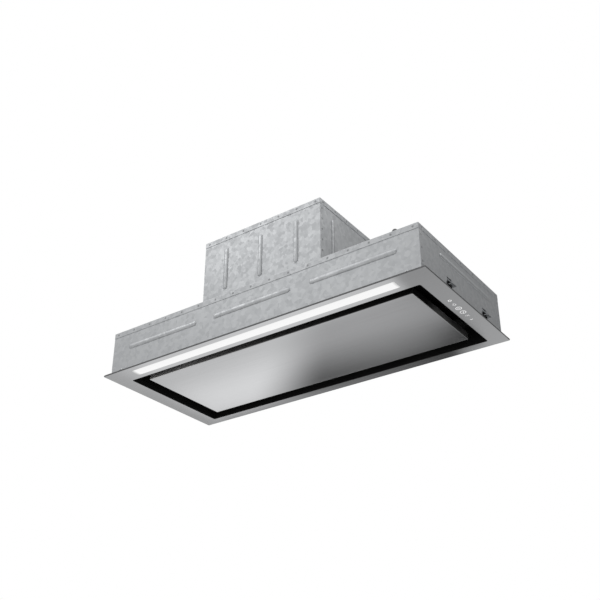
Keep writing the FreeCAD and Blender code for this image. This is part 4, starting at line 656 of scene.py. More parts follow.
# %% Plain grained finishes
EVEN = (900.0,) * 3
COARSE = (260.0,) * 3
FOAM_CELLS = (1500.0,) * 3
ALONG_X = (8.0, 900.0, 900.0)
ALONG_Y = (900.0, 8.0, 900.0)
GRAINED = [
    ("black_enamel", 0.004, 0.008, (0.50, 0.62), EVEN, 0.10, 0.0, 0.12),
    ("zinc_plate", (0.50, 0.51, 0.52), (0.68, 0.69, 0.70), (0.24, 0.36), COARSE, 0.05, 1.0),
    ("spring_wire", (0.42, 0.43, 0.45), (0.60, 0.61, 0.63), (0.20, 0.30), EVEN, 0.04, 1.0),
    ("mill_aluminium", (0.50, 0.507, 0.515), (0.62, 0.627, 0.635), (0.30, 0.42), ALONG_X, 0.06, 1.0),
    # The filters' black is anodised aluminium, and also painted shade: it stands in for the shade deep
    # in the recess.
    ("black_anodised", 0.030, 0.050, (0.34, 0.46), ALONG_X, 0.06, 1.0),
    ("black_mesh", 0.040, 0.075, (0.36, 0.48), COARSE, 0.10, 1.0),
    ("black_moulding", 0.012, (0.022, 0.022, 0.023), (0.42, 0.55), EVEN, 0.18),
    ("grey_moulding", (0.085, 0.087, 0.09), (0.11, 0.112, 0.116), (0.45, 0.58), EVEN, 0.18),
    ("white_moulding", (0.68, 0.68, 0.67), (0.78, 0.78, 0.77), (0.35, 0.48), EVEN, 0.10),
    ("soft_rubber", 0.010, 0.020, (0.62, 0.80), COARSE, 0.22, 0.0, 0.3),
    ("foam_strip", 0.018, 0.034, (0.85, 0.95), FOAM_CELLS, 0.6, 0.0, 0.15),
    ("ferrite", (0.045, 0.045, 0.047), (0.075, 0.075, 0.078), (0.55, 0.70), COARSE, 0.20),
    ("cable_sheath", 0.026, 0.042, (0.38, 0.50), ALONG_X, 0.06),
    ("bearing_steel", (0.52, 0.53, 0.54), (0.66, 0.67, 0.68), (0.12, 0.20), ALONG_X, 0.03, 1.0),
    ("capacitor_sleeve", (0.60, 0.61, 0.60), (0.70, 0.71, 0.70), (0.30, 0.42), EVEN, 0.08),
    ("component_case", (0.020, 0.026, 0.05), (0.035, 0.045, 0.08), (0.36, 0.48), EVEN, 0.10),
    ("weld_mark", (0.30, 0.307, 0.315), (0.40, 0.408, 0.416), (0.46, 0.60), COARSE, 0.10, 1.0),
    ("rotor_iron", (0.24, 0.24, 0.25), (0.36, 0.36, 0.37), (0.34, 0.46), ALONG_Y, 0.10, 1.0),
]

for look in GRAINED:
    grained(*look)
print("grained finishes:", len(GRAINED))

# %% [markdown]
# ## Circuit boards, stator and light chips
# Three things need more than grain. The boards have tracks under a skin of resist; these could be
# drawn one by one, but at this size crossed bricks suggest them. The motor's stator is a stack of
# thin iron sheets between two copper windings, which are told apart by their place along the shaft,
# so the node needs no second material. The light chips are yellow phosphor with a speckle.

# %% Circuit boards
TRACKS = (180.0,) * 3
TRACK_WIDTH = 0.12
TRACK_BUMP = 0.2
TRACK_HEIGHT = 0.05 * MM
RESIST_ROUGHNESS = (0.28, 0.40)
PAD_TONE = (0.25, 0.25, 0.25, 1.0)
BLACK = (0.0, 0.0, 0.0, 1.0)


def circuit_board(name, resist_dark, resist_light):
    board = Finish(name)
    bricks = {
        "Vector": board.place(TRACKS), "Scale": 1.0, "Mortar Size": TRACK_WIDTH,
        "Color1": BLACK, "Color2": PAD_TONE, "Mortar": WHITE,
    }
    tracks = board.add("ShaderNodeTexBrick", bricks)
    board.set(
        base_color=board.ramp(tracks.outputs["Color"], [(0.1, resist_dark), (0.9, resist_light)]),
        roughness=board.dullness(board.noise(EVEN), *RESIST_ROUGHNESS),
        normal=board.bump(tracks.outputs["Fac"], TRACK_BUMP, TRACK_HEIGHT),
    )
    print(name, "has", TRACKS[0], "tracks per metre")


circuit_board("green_board", (0.010, 0.085, 0.035), (0.025, 0.16, 0.07))
circuit_board("white_board", (0.62, 0.63, 0.62), (0.78, 0.79, 0.78))

# %% Stator
WINDING_LENGTH = 5.0 * MM
TURNS_OF_WIRE = (2200.0, 300.0, 300.0)
TURN_BUMP = 0.5
TURN_DEPTH = 0.2 * MM
IRON = (0.28, 0.28, 0.29)
COPPER = (0.56, 0.22, 0.09)
STATOR_ROUGHNESS = (0.28, 0.45)

stator_low, stator_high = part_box("motor_stator")
core_half = (stator_high.x - stator_low.x) / 2 - WINDING_LENGTH
stator = Finish("stator_winding", metallic=1.0)
from_core = stator.distance(stator.axes(stator.place())[0], (stator_low.x + stator_high.x) / 2)
wire_turns = stator.noise(TURNS_OF_WIRE, detail=2.0)
stator.set(
    base_color=stator.ramp(stator.step(from_core, core_half, SKIN_SOFT), [(0.0, IRON), (1.0, COPPER)]),
    roughness=stator.dullness(wire_turns, *STATOR_ROUGHNESS),
    normal=stator.bump(wire_turns, TURN_BUMP, TURN_DEPTH),
)
print("iron core is", round(2 * core_half / MM, 1), "mm long")

# %% Light chips
PHOSPHOR_GRAIN = (2500.0,) * 3
PHOSPHOR_DARK = (0.82, 0.68, 0.10)
PHOSPHOR_LIGHT = (0.92, 0.80, 0.22)
PHOSPHOR_ROUGHNESS = (0.35, 0.50)

phosphor = Finish("phosphor_chip")
speckle = phosphor.noise(PHOSPHOR_GRAIN)
phosphor.set(
    base_color=phosphor.tones(speckle, PHOSPHOR_DARK, PHOSPHOR_LIGHT),
    roughness=phosphor.dullness(speckle, *PHOSPHOR_ROUGHNESS),
)
print("phosphor has", PHOSPHOR_GRAIN[0], "grains per metre")

# %% [markdown]
# ## Opal lens and touch light
# The light bar is an opal strip with a row of chips behind it. A lamp could stand behind a cloudy
# solid, but that takes many samples to come out smooth, so the lens itself gives the light. It gives
# a little less towards its long edges and its ends, where less of the light board is behind it. The
# touch marks glow in the same way, evenly and less strongly.

# %% Opal lens
LENS_CORE = 0.81
LENS_EDGE = 0.68
LENS_EDGE_SHARE = 0.75
LENS_END = 0.55
LENS_FADE = 9.0 * MM
LIT_SHIFT = 1.5 * MM
LENS_HAZE = (400.0,) * 3
LENS_TONES = (0.10, 0.13)
LENS_ROUGHNESS = (0.42, 0.50)


def light_up(finish, grain, tones, roughness, glow):
    """Gives a finish a grain and a white glow."""
    noise = finish.noise(grain)
    finish.set(
        base_color=finish.tones(noise, *tones),
        roughness=finish.dullness(noise, *roughness),
        emission_color=WHITE,
        emission_strength=glow,
    )


lens_low, lens_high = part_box("light_lens")
lens_half = (lens_high.y - lens_low.y) / 2
opal = Finish("opal_lens", specular=0.35)
lengthways, across, _ = opal.axes(opal.place())
off_axis = opal.distance(across, (lens_low.y + lens_high.y) / 2)
edge_start = LENS_EDGE_SHARE * lens_half
across_glow = opal.span(off_axis, edge_start, lens_half, LENS_CORE, LENS_EDGE, smooth=True)
to_end = opal.math("SUBTRACT", lens_high.x, opal.distance(lengthways, LIT_SHIFT))
end_glow = opal.span(to_end, 0.0, LENS_FADE, LENS_END, 1.0, smooth=True)
lens_glow = opal.math("MULTIPLY", across_glow, end_glow)
light_up(opal, LENS_HAZE, LENS_TONES, LENS_ROUGHNESS, lens_glow)
print("lens is", round(2 * lens_half / MM, 1), "mm wide")

# %% Touch light
TOUCH_GRIT = (3000.0,) * 3
TOUCH_TONES = (0.70, 0.80)
TOUCH_ROUGHNESS = (0.40, 0.50)
TOUCH_GLOW = 0.42

touch = Finish("touch_light", specular=0.3)
light_up(touch, TOUCH_GRIT, TOUCH_TONES, TOUCH_ROUGHNESS, TOUCH_GLOW)
print("touch light glows with", TOUCH_GLOW)

# %% [markdown]
# ## Which node gets which finish
# The frame's own solids stay where their shape is already right, and only their material changes.
# Each could be dressed where its finish is made, but one table shows at a glance that no node was
# forgotten. Each name in the lists below is a node of the frame.

# %% Finishes on the frame's nodes
NODE_FINISHES = {
    "bezel_steel": ["bezel"],
    "panel_steel": ["intake_panel"],
    "galvanised_sheet": ["plenum_shell", "blower_box"],
    "galvanised_plate": ["filter_plate"],
    "galvanised_small": ["blower_feet", "shell_brackets", "panel_stiffeners", "motor_bracket"],
    "black_enamel": ["intake_surround", "recess_brackets"],
    "zinc_plate": [
        "fixing_bushes", "screws", "claw_left_front", "claw_left_rear", "claw_right_front",
        "claw_right_rear", "pivot_pins", "hinge_arms", "catch_keepers", "flap_pin", "motor_can",
        "motor_cap",
    ],
    "spring_wire": ["claw_springs", "latch_spring_left", "latch_spring_right"],
    "mill_aluminium": ["light_channel", "flap_front", "flap_rear"],
    # The black filters are anodised, and their darkness also stands in for the shade deep in the recess.
    "black_anodised": ["filter_frame_left", "filter_frame_right"],
    "black_mesh": ["filter_mesh_left", "filter_mesh_right"],
    "black_moulding": [
        "latch_cups", "filter_latch_left", "filter_latch_right", "touch_housing", "outlet_collar",
        "scroll_left", "scroll_right", "impeller", "mains_gland",
    ],
    "grey_moulding": ["electronics_case", "electronics_lid"],
    "white_moulding": ["light_end_caps"],
    "soft_rubber": ["motor_dampers", "lead_grommets"],
    "ferrite": ["catch_magnets"],
    "cable_sheath": ["leads"],
    "bearing_steel": ["motor_bearings", "motor_shaft"],
    "capacitor_sleeve": ["run_capacitor"],
    "component_case": ["board_components"],
    "rotor_iron": ["motor_rotor"],
    "green_board": ["main_board", "touch_board"],
    "white_board": ["light_board"],
    "stator_winding": ["motor_stator"],
    "phosphor_chip": ["light_chips"],
    "opal_lens": ["light_lens"],
}
bare_nodes = set(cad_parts)
for finish_name, node_names in NODE_FINISHES.items():
    for node_name in node_names:
        node_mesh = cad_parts[node_name].data
        node_mesh.materials.clear()
        node_mesh.materials.append(finishes[finish_name])
        bare_nodes.remove(node_name)
print("nodes without a finish:", sorted(bare_nodes))

# %% [markdown]
# ## Growing repeated pieces with Geometry Nodes
# Screws, springs, spot welds, pressed beads and the mesh of the grease filters repeat one small shape
# or follow a rule. They could be copied in loops, but Geometry Nodes suit them better: the tree takes
# named sizes, sets the shape on points, realises the copies and paints them. The class builds such a
# tree with few words, and `grow` turns its result into a plain mesh that stands at the origin, as the
# frame's own nodes do.

# %% Geometry Nodes helper
class Growth(Wiring):
    """A Geometry Nodes tree with named inputs."""

    def __init__(self, name, inputs):
        super().__init__(bpy.data.node_groups.new(name, "GeometryNodeTree"))
        sockets = self.tree.interface
        sockets.new_socket("Geometry", in_out="INPUT", socket_type="NodeSocketGeometry")
        for label, kind in {**inputs, "Finish": "Material"}.items():
            sockets.new_socket(label, in_out="INPUT", socket_type="NodeSocket" + kind)
        sockets.new_socket("Geometry", in_out="OUTPUT", socket_type="NodeSocketGeometry")
        self.start = self.add("NodeGroupInput")

    def given(self, label):
        return self.start.outputs[label]

    def vector(self, x, y, z):
        return self.add("ShaderNodeCombineXYZ", {"X": x, "Y": y, "Z": z}).outputs["Vector"]

    def on_points(self, instance):
        """Sets the instance on the points, its Z along their facing and its X along their run."""
        turn = {}
        for label, axis, pivot in (("facing", "Z", "AUTO"), ("along", "X", "Z")):
            way = self.add("GeometryNodeInputNamedAttribute", {"Name": label}, data_type="FLOAT_VECTOR")
            turn["Vector"] = way.outputs["Attribute"]
            aligned = self.add("FunctionNodeAlignRotationToVector", turn, axis=axis, pivot_axis=pivot)
            turn["Rotation"] = aligned.outputs["Rotation"]
        places = {"Points": self.given("Geometry"), "Instance": instance, "Rotation": turn["Rotation"]}
        return self.add("GeometryNodeInstanceOnPoints", places).outputs["Instances"]

    def close(self, geometry):
        """Realises the copies, paints them and ends the tree."""
        real = self.add("GeometryNodeRealizeInstances", {"Geometry": geometry}).outputs["Geometry"]
        paint = {"Geometry": real, "Material": self.given("Finish")}
        painted = self.add("GeometryNodeSetMaterial", paint)
        self.add("NodeGroupOutput", {"Geometry": painted.outputs["Geometry"]})


print("calls for growths:", calls_of(Growth))

# %% From a tree to a plain mesh
def grow(growth, name, values, points=None):
    """Runs a tree on points and keeps the result as a plain mesh."""
    host = mesh_piece(name + "_points", points or bpy.data.meshes.new(name + "_points"))
    modifier = host.modifiers.new("growth", "NODES")
    modifier.node_group = growth.tree
    for item in growth.tree.interface.items_tree:
        if item.in_out == "INPUT" and item.name in values:
            modifier[item.identifier] = values[item.name]
    grown = host.evaluated_get(bpy.context.evaluated_depsgraph_get())
    mesh = bpy.data.meshes.new_from_object(grown)
    mesh.name = name
    bpy.data.objects.remove(host)
    return mesh_piece(name, mesh)


print("helper that grows a piece:", grow.__name__)

# %% Copies on points
X_AXIS, Y_AXIS, Z_AXIS = (1, 0, 0), (0, 1, 0), (0, 0, 1)

set_shape = Growth("set_shape_on_points", {"Shape": "Object"})
shape_info = set_shape.add("GeometryNodeObjectInfo", {"Object": set_shape.given("Shape")})
set_shape.close(set_shape.on_points(shape_info.outputs["Geometry"]))


def points_of(name, places):
    """A mesh of bare points; each place is a point, the way it faces and the way it runs."""
    mesh = bpy.data.meshes.new(name)
    mesh.from_pydata([place[0] for place in places], [], [])
    for label, part in (("facing", 1), ("along", 2)):
        attribute = mesh.attributes.new(label, "FLOAT_VECTOR", "POINT")
        attribute.data.foreach_set("vector", [number for place in places for number in place[part]])
    return mesh


def set_copies(name, shape_mesh, finish, places):
    """Copies of one small mesh, set on points and joined to one piece."""
    shape = mesh_piece(name + "_shape", shape_mesh)
    piece = grow(set_shape, name, {"Shape": shape, "Finish": finishes[finish]}, points_of(name, places))
    bpy.data.objects.remove(shape)
    return piece


def settle(piece, body, replaced=None):
    """Lets a finished piece ride a body, in the place of a node of the frame if it replaces one."""
    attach(piece, body)
    if replaced:
        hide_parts(replaced)
    print(piece.name, "rides", body, "with", len(piece.data.polygons), "faces")


print("trees for copies:", set_shape.tree.name)

# %% [markdown]
# ## Small shapes
# A screw, a spot weld or a pressed bead is the same outline again and again, at other heights and
# sizes. Such a shape could be spun or lofted with modifiers, but a few rings of points joined by
# quads give the same with full control of the number of faces. The ends are capped or joined, so that
# every shape is closed.

# %% Points on circles
def turns(count, shift=0.0):
    """Angles that share out a full turn."""
    return [2 * math.pi * (i + shift) / count for i in range(count)]


def ring_points(radius, height, count):
    return [(radius * math.cos(turn), radius * math.sin(turn), height) for turn in turns(count)]


def arc_points(x, y, radius, first, last, steps):
    """Points on an arc about a middle, from one angle to another in degrees."""
    angles = [math.radians(first + (last - first) * i / steps) for i in range(steps + 1)]
    return [(x + radius * math.cos(angle), y + radius * math.sin(angle)) for angle in angles]


def at_height(points, height):
    return [(x, y, height) for x, y in points]


print("three equal angles:", [round(angle, 2) for angle in turns(3)])

# %% Stacks of rings
def stack(shape, rings, ends="capped"):
    """Joins rings of equally many points with quads; its ends are capped, joined or left open."""
    levels = [[shape.verts.new(point) for point in ring] for ring in rings]
    followers = levels[1:] + levels[:1] if ends == "joined" else levels[1:]
    for low, high in zip(levels, followers):
        for i, _ in enumerate(low):
            j = (i + 1) % len(low)
            shape.faces.new((low[i], low[j], high[j], high[i]))
    if ends == "capped":
        shape.faces.new(levels[0])
        shape.faces.new(levels[-1])
    return levels


def to_mesh(shape, name, smooth=True):
    bmesh.ops.recalc_face_normals(shape, faces=shape.faces)
    for face in shape.faces:
        face.smooth = smooth
    mesh = bpy.data.meshes.new(name)
    shape.to_mesh(mesh)
    shape.free()
    return mesh


print("helpers for shapes:", stack.__name__, "and", to_mesh.__name__)

# %% Pressed bead
BEAD_LIFTS = (0.0, 22.0, 45.0, 68.0)
BEAD_END_STEPS = 6


def pressed_bead(name, length, width, rise):
    """Racetrack outlines that shrink as they rise."""
    half_run = (length - width) / 2
    rings = []
    for lift in BEAD_LIFTS:
        radius = width / 2 * math.cos(math.radians(lift))
        right = arc_points(half_run, 0.0, radius, -90.0, 90.0, BEAD_END_STEPS)
        left = arc_points(-half_run, 0.0, radius, 90.0, 270.0, BEAD_END_STEPS)
        rings.append(at_height(right + left, rise * math.sin(math.radians(lift))))
    shape = bmesh.new()
    stack(shape, rings)
    return to_mesh(shape, name)


print("a bead has", len(BEAD_LIFTS), "outlines of", 2 * (BEAD_END_STEPS + 1), "points")

# %% [markdown]
# ## Screws
# Domed screws with a cross recess hold the sheet metal and the covers. The frame's screws are plain
# pan heads. The recess could be a bump, but it would vanish from the side, so it is cut into one
# small mesh that is set where each of the frame's screws is. The places are read from the frame: a
# screw's longest side gives its axis, and the wider end is the head.

# %% Solids of a node
MERGE = 0.001 * MM


def islands(node):
    """The points of each separate solid in a node of the frame."""
    sheet = bmesh.new()
    sheet.from_mesh(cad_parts[node].data)
    bmesh.ops.remove_doubles(sheet, verts=sheet.verts, dist=MERGE)
    waiting = set(sheet.verts)
    groups = []
    while waiting:
        open_ends = [waiting.pop()]
        group = []
        while open_ends:
            vertex = open_ends.pop()
            group.append(vertex.co.copy())
            for edge in vertex.link_edges:
                other = edge.other_vert(vertex)
                if other in waiting:
                    waiting.remove(other)
                    open_ends.append(other)
        groups.append(group)
    sheet.free()
    return groups


def corners(points):
    low = Vector([min(point[i] for point in points) for i in range(3)])
    high = Vector([max(point[i] for point in points) for i in range(3)])
    return low, high


screw_solids = islands("screws")
print("screws in the frame:", len(screw_solids))

# %% Places of the screws
HEAD_HEIGHT = 1.6 * MM
END_SLICE = 0.05 * MM


def screw_place(points):
    """Where the head sits, the way it faces and the way its cross runs."""
    low, high = corners(points)
    middle = (low + high) / 2
    size = high - low
    axis = max(range(3), key=lambda i: size[i])

    def width_at(level):
        near = [point - middle for point in points if abs(point[axis] - level) < END_SLICE]
        return max(offset.length_squared - offset[axis] ** 2 for offset in near)

    sign = 1 if width_at(high[axis]) > width_at(low[axis]) else -1
    facing = Vector((0.0, 0.0, 0.0))
    facing[axis] = sign
    seat = middle.copy()
    seat[axis] = (high[axis] if sign > 0 else low[axis]) - sign * HEAD_HEIGHT
    return seat, facing, X_AXIS if axis == 2 else Z_AXIS


screw_places = [screw_place(solid) for solid in screw_solids]
print("screws that face down:", sum(facing.z < 0 for _, facing, _ in screw_places))

# %% Screws
HEAD_RADIUS = 3.6 * MM
HEAD_SIDES = 20
SHANK_RADIUS = 1.9 * MM
SHANK_LENGTH = 7.0 * MM
CROSS_REACH = 1.9 * MM
CROSS_HALF = 0.42 * MM
CROSS_DEPTH = 0.9 * MM
DOME = [(1.0, 0.0), (1.0, 0.45), (0.94, 0.72), (0.80, 0.90), (0.62, 1.0)]


def screw_mesh():
    shape = bmesh.new()
    profile = [(SHANK_RADIUS, -SHANK_LENGTH), (SHANK_RADIUS, 0.0)]
    profile += [(out * HEAD_RADIUS, up * HEAD_HEIGHT) for out, up in DOME]
    head = stack(shape, [ring_points(r, z, HEAD_SIDES) for r, z in profile], ends="open")
    shape.faces.new(head[0])
    arm = [(CROSS_REACH, -CROSS_HALF), (CROSS_REACH, CROSS_HALF), (CROSS_HALF, CROSS_HALF)]
    outline = []
    for _ in range(4):
        outline += arm
        arm = [(-y, x) for x, y in arm]
    depths = (HEAD_HEIGHT, HEAD_HEIGHT - CROSS_DEPTH)
    recess = stack(shape, [at_height(outline, depth) for depth in depths], ends="open")
    shape.faces.new(recess[1])
    border = []
    for loop in (head[-1], recess[0]):
        border += [shape.edges.get((loop[i - 1], loop[i])) for i in range(len(loop))]
    bmesh.ops.triangle_fill(shape, use_beauty=True, edges=border)
    return to_mesh(shape, "screw", smooth=False)


pan_heads = set_copies("pan_head_screws", screw_mesh(), "zinc_plate", screw_places)
settle(pan_heads, "hood", "screws")

# %% [markdown]
# ## Springs
# Each filter latch is pushed home by a small compression spring, and each fixing claw is held out by
# a torsion spring. A screw modifier could wind them, but a spiral curve in Geometry Nodes takes the
# turns and the length as named sizes, and a round section makes the wire.

# %% Coil spring tree
SPIRAL_STEPS = 18
WIRE_SIDES = 8

coil = Growth("coil_spring", dict.fromkeys(("Turns", "Coil Radius", "Length", "Wire Radius"), "Float"))
spiral = coil.add(
    "GeometryNodeCurveSpiral",
    {
        "Resolution": SPIRAL_STEPS,
        "Rotations": coil.given("Turns"),
        "Start Radius": coil.given("Coil Radius"),
        "End Radius": coil.given("Coil Radius"),
        "Height": coil.given("Length"),
    },
)
wire_sizes = {"Resolution": WIRE_SIDES, "Radius": coil.given("Wire Radius")}
wire = coil.add("GeometryNodeCurvePrimitiveCircle", wire_sizes)
wound = coil.add(
    "GeometryNodeCurveToMesh",
    {"Curve": spiral.outputs["Curve"], "Profile Curve": wire.outputs["Curve"], "Fill Caps": True},
)
smoothing = {"Geometry": wound.outputs["Mesh"], "Shade Smooth": True}
rounded = coil.add("GeometryNodeSetShadeSmooth", smoothing)
coil.close(coil.on_points(rounded.outputs["Geometry"]))
print("coil spring tree has", len(coil.tree.nodes), "nodes")

# %% Springs
LATCH_TURNS = 8.0
LATCH_WIRE = 0.35 * MM
CLAW_TURNS = 4.0
CLAW_WIRE = 0.5 * MM


def wound_springs(name, spots, turns_each, wire_radius):
    """Springs that fill the given boxes, wound along Y."""
    places = []
    for low, high in spots:
        start = Vector(((low.x + high.x) / 2, low.y + wire_radius, (low.z + high.z) / 2))
        places.append((start, Y_AXIS, X_AXIS))
    first_low, first_high = spots[0]
    sizes = {
        "Turns": turns_each,
        "Coil Radius": (first_high.x - first_low.x) / 2 - wire_radius,
        "Length": first_high.y - first_low.y - 2 * wire_radius,
        "Wire Radius": wire_radius,
        "Finish": finishes["spring_wire"],
    }
    return grow(coil, name, sizes, points_of(name, places))


for side in ("left", "right"):
    spring_node = "latch_spring_" + side
    low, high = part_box(spring_node)
    spring = wound_springs("coil_" + spring_node, [(low, high)], LATCH_TURNS, LATCH_WIRE)
    settle(spring, "hood", spring_node)
    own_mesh(spring)

claw_boxes = [corners(solid) for solid in islands("claw_springs")]
claw_coils = wound_springs("coil_claw_springs", claw_boxes, CLAW_TURNS, CLAW_WIRE)
settle(claw_coils, "hood", "claw_springs")

# %% [markdown]
# ## Expanded metal in the grease filters
# A grease filter is a pack of expanded aluminium. A see-through pattern could stand for it, but that
# looks flat when the panel is open, and the shape follows a simple rule. Its strands are zigzags:
# each row is shifted by half a cell against the next, so that neighbours touch and leave diamonds.
# One strand is a line whose odd points move up, swept with a flat section. Rows of it make a layer,
# and a second layer lies behind, shifted by a quarter of a cell. The place where the latch cup sits
# is cut out, and the cut ends are closed.

# %% One strand
STRAND_FLATNESS = 0.8

pack = Growth("expanded_metal", dict.fromkeys((
    "Width", "Depth", "Cell Length", "Cell Height", "Strand", "Layer Gap", "Notch Half", "Notch Depth",
), "Float"))
half_cell = pack.math("DIVIDE", pack.given("Cell Length"), 2.0)
half_height = pack.math("DIVIDE", pack.given("Cell Height"), 2.0)
odd = pack.math("MODULO", pack.add("GeometryNodeInputIndex").outputs["Index"], 2.0)
usable = pack.math("SUBTRACT", pack.given("Width"), pack.given("Cell Length"))
steps = pack.math("FLOOR", pack.math("DIVIDE", usable, half_cell))
points = {"Count": pack.math("ADD", steps, 1.0), "Offset": pack.vector(half_cell, 0.0, 0.0)}
straight = pack.add("GeometryNodeMeshLine", points)
swing = pack.math("MULTIPLY", pack.math("SUBTRACT", odd, 0.5), pack.given("Cell Height"))
moved = {"Geometry": straight.outputs["Mesh"], "Offset": pack.vector(0.0, swing, 0.0)}
zigzag = pack.add("GeometryNodeSetPosition", moved)
path = pack.add("GeometryNodeMeshToCurve", {"Mesh": zigzag.outputs["Geometry"]})
strand_height = pack.math("MULTIPLY", pack.given("Strand"), STRAND_FLATNESS)
flat = {"Width": pack.given("Strand"), "Height": strand_height}
flat_section = pack.add("GeometryNodeCurvePrimitiveQuadrilateral", flat)
strand = pack.add(
    "GeometryNodeCurveToMesh",
    {"Curve": path.outputs["Curve"], "Profile Curve": flat_section.outputs["Curve"], "Fill Caps": True},
)
print("one strand takes", len(pack.tree.nodes), "nodes")

# %% Two layers with a notch
inner_depth = pack.math("SUBTRACT", pack.given("Depth"), pack.given("Cell Height"))
column = pack.add(
    "GeometryNodeMeshLine",
    {
        "Count": pack.math("FLOOR", pack.math("DIVIDE", inner_depth, pack.given("Cell Height"))),
        "Start Location": pack.vector(half_cell, half_height, 0.0),
        "Offset": pack.vector(0.0, pack.given("Cell Height"), 0.0),
    },
)
stagger = pack.vector(pack.math("MULTIPLY", odd, half_cell), 0.0, 0.0)
rows = pack.add("GeometryNodeSetPosition", {"Geometry": column.outputs["Mesh"], "Offset": stagger})
row_strands = {"Points": rows.outputs["Geometry"], "Instance": strand.outputs["Mesh"]}
layer = pack.add("GeometryNodeInstanceOnPoints", row_strands).outputs["Instances"]
quarter_cell = pack.math("DIVIDE", pack.given("Cell Length"), 4.0)
backward = pack.vector(quarter_cell, half_height, pack.given("Layer Gap"))
behind = pack.add("GeometryNodeTransform", {"Geometry": layer, "Translation": backward})
both = pack.add("GeometryNodeJoinGeometry")
for part in (layer, behind.outputs["Geometry"]):
    pack.wire(part, both.inputs["Geometry"])
whole = pack.add("GeometryNodeRealizeInstances", {"Geometry": both.outputs["Geometry"]})
spot_x, spot_y, _ = pack.axes(pack.add("GeometryNodeInputPosition").outputs["Position"])
off_middle = pack.distance(spot_x, pack.math("DIVIDE", pack.given("Width"), 2.0))
in_width = pack.math("LESS_THAN", off_middle, pack.given("Notch Half"))
in_depth = pack.math("LESS_THAN", spot_y, pack.given("Notch Depth"))
notched = pack.add(
    "GeometryNodeDeleteGeometry",
    {"Geometry": whole.outputs["Geometry"], "Selection": pack.math("MULTIPLY", in_width, in_depth)},
    domain="FACE",
)
pack.close(notched.outputs["Geometry"])
print("expanded metal tree has", len(pack.tree.nodes), "nodes")

# %% Expanded metal in both filters
CELL_LENGTH = 9.0 * MM
CELL_HEIGHT = 4.6 * MM
STRAND = 0.75 * MM
LAYER_GAP = 1.0 * MM
CUT_SIDES = 4

cups = [corners(solid) for solid in islands("latch_cups")]
for side in ("left", "right"):
    mesh_node = "filter_mesh_" + side
    low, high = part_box(mesh_node)
    cup_low, cup_high = min(cups, key=lambda cup: abs(cup[0].x - (low.x + high.x) / 2))
    sizes = {
        "Width": high.x - low.x,
        "Depth": high.y - low.y,
        "Cell Length": CELL_LENGTH,
        "Cell Height": CELL_HEIGHT,
        "Strand": STRAND,
        "Layer Gap": LAYER_GAP,
        "Notch Half": (cup_high.x - cup_low.x) / 2 + STRAND,
        "Notch Depth": cup_high.y - low.y + 2 * STRAND,
        "Finish": finishes["black_mesh"],
    }
    expanded = grow(pack, "expanded_" + mesh_node, sizes)
    strands = bmesh.new()
    strands.from_mesh(expanded.data)
    cut_ends = [edge for edge in strands.edges if edge.is_boundary]
    bmesh.ops.holes_fill(strands, edges=cut_ends, sides=CUT_SIDES)
    into_frame = (low.x, low.y, (low.z + high.z - LAYER_GAP) / 2)
    bmesh.ops.translate(strands, verts=strands.verts, vec=into_frame)
    strands.to_mesh(expanded.data)
    strands.free()
    settle(expanded, "hood", mesh_node)

# %% [markdown]
# ## Seams, spot welds and pressed beads on the sheet metal
# The plenum and the blower box are folded from thin sheet. The lid of each turns down over its walls,
# the front and rear walls turn round the corners, and both laps are spot welded. Beads are pressed
# into the large faces so that they don't drum. Lines in the material could suggest this, but they
# would leave the outline smooth. So it is thin geometry that lies on the frame's faces, placed by the
# boxes of the two nodes.

# %% Rounded ring and corner lap
SHEET = 0.8 * MM
LAP_SHEET = 0.7 * SHEET
LAP_BEVEL = 0.3 * MM


def rounded_ring(low, high, out, height, radius, steps):
    """A rectangle with rounded corners, a little beyond the faces of a box."""
    middle = (low + high) / 2
    half_x = (high.x - low.x) / 2 + out - radius
    half_y = (high.y - low.y) / 2 + out - radius
    points = []
    for x, y, first in ((1, -1, -90.0), (1, 1, 0.0), (-1, 1, 90.0), (-1, -1, 180.0)):
        corner = (middle.x + x * half_x, middle.y + y * half_y)
        points += arc_points(*corner, radius, first, first + 90.0, steps)
    return at_height(points, height)


def corner_lap(shape, wall, side, y0, y1, z0, z1):
    """A flat strip on a side wall with its outer edges taken off, as sheared sheet has."""
    rings = []
    for out, inset in ((0.0, 0.0), (LAP_SHEET - LAP_BEVEL, 0.0), (LAP_SHEET, LAP_BEVEL)):
        ys, zs = (y0 + inset, y1 - inset), (z0 + inset, z1 - inset)
        x = wall + side * out
        rings.append([(x, ys[0], zs[0]), (x, ys[1], zs[0]), (x, ys[1], zs[1]), (x, ys[0], zs[1])])
    stack(shape, rings)


print("a lap is", round(LAP_SHEET / MM, 2), "mm thick")

# %% Folded seams
SEAM_SINK = 0.1 * MM
SEAM_CORNER = 1.2 * MM
SEAM_CORNER_STEPS = 4
LID_LAP = 13.0 * MM
LID_BEND_OUT = 0.6 * SHEET
LID_BEND_DROP = 0.2 * SHEET
CORNER_LAP = 14.0 * MM
SHELL_LAP_START = 16.0 * MM
BOX_LAP_START = 2.0 * MM


def folded_seams(shape, low, high, floor_z):
    """The lid's turned-down border and the laps at the four corners."""
    lid_foot = high.z - LID_LAP
    bend = (LID_BEND_OUT, high.z - LID_BEND_DROP)
    lid = [(-SEAM_SINK, lid_foot), (SHEET, lid_foot), (SHEET, high.z - SHEET), bend, (0.0, high.z)]
    rings = [rounded_ring(low, high, out, z, SEAM_CORNER, SEAM_CORNER_STEPS) for out, z in lid]
    stack(shape, rings, ends="joined")
    for side, wall in ((-1, low.x), (1, high.x)):
        for y0, y1 in ((low.y, low.y + CORNER_LAP), (high.y - CORNER_LAP, high.y)):
            corner_lap(shape, wall, side, y0, y1, floor_z, lid_foot)


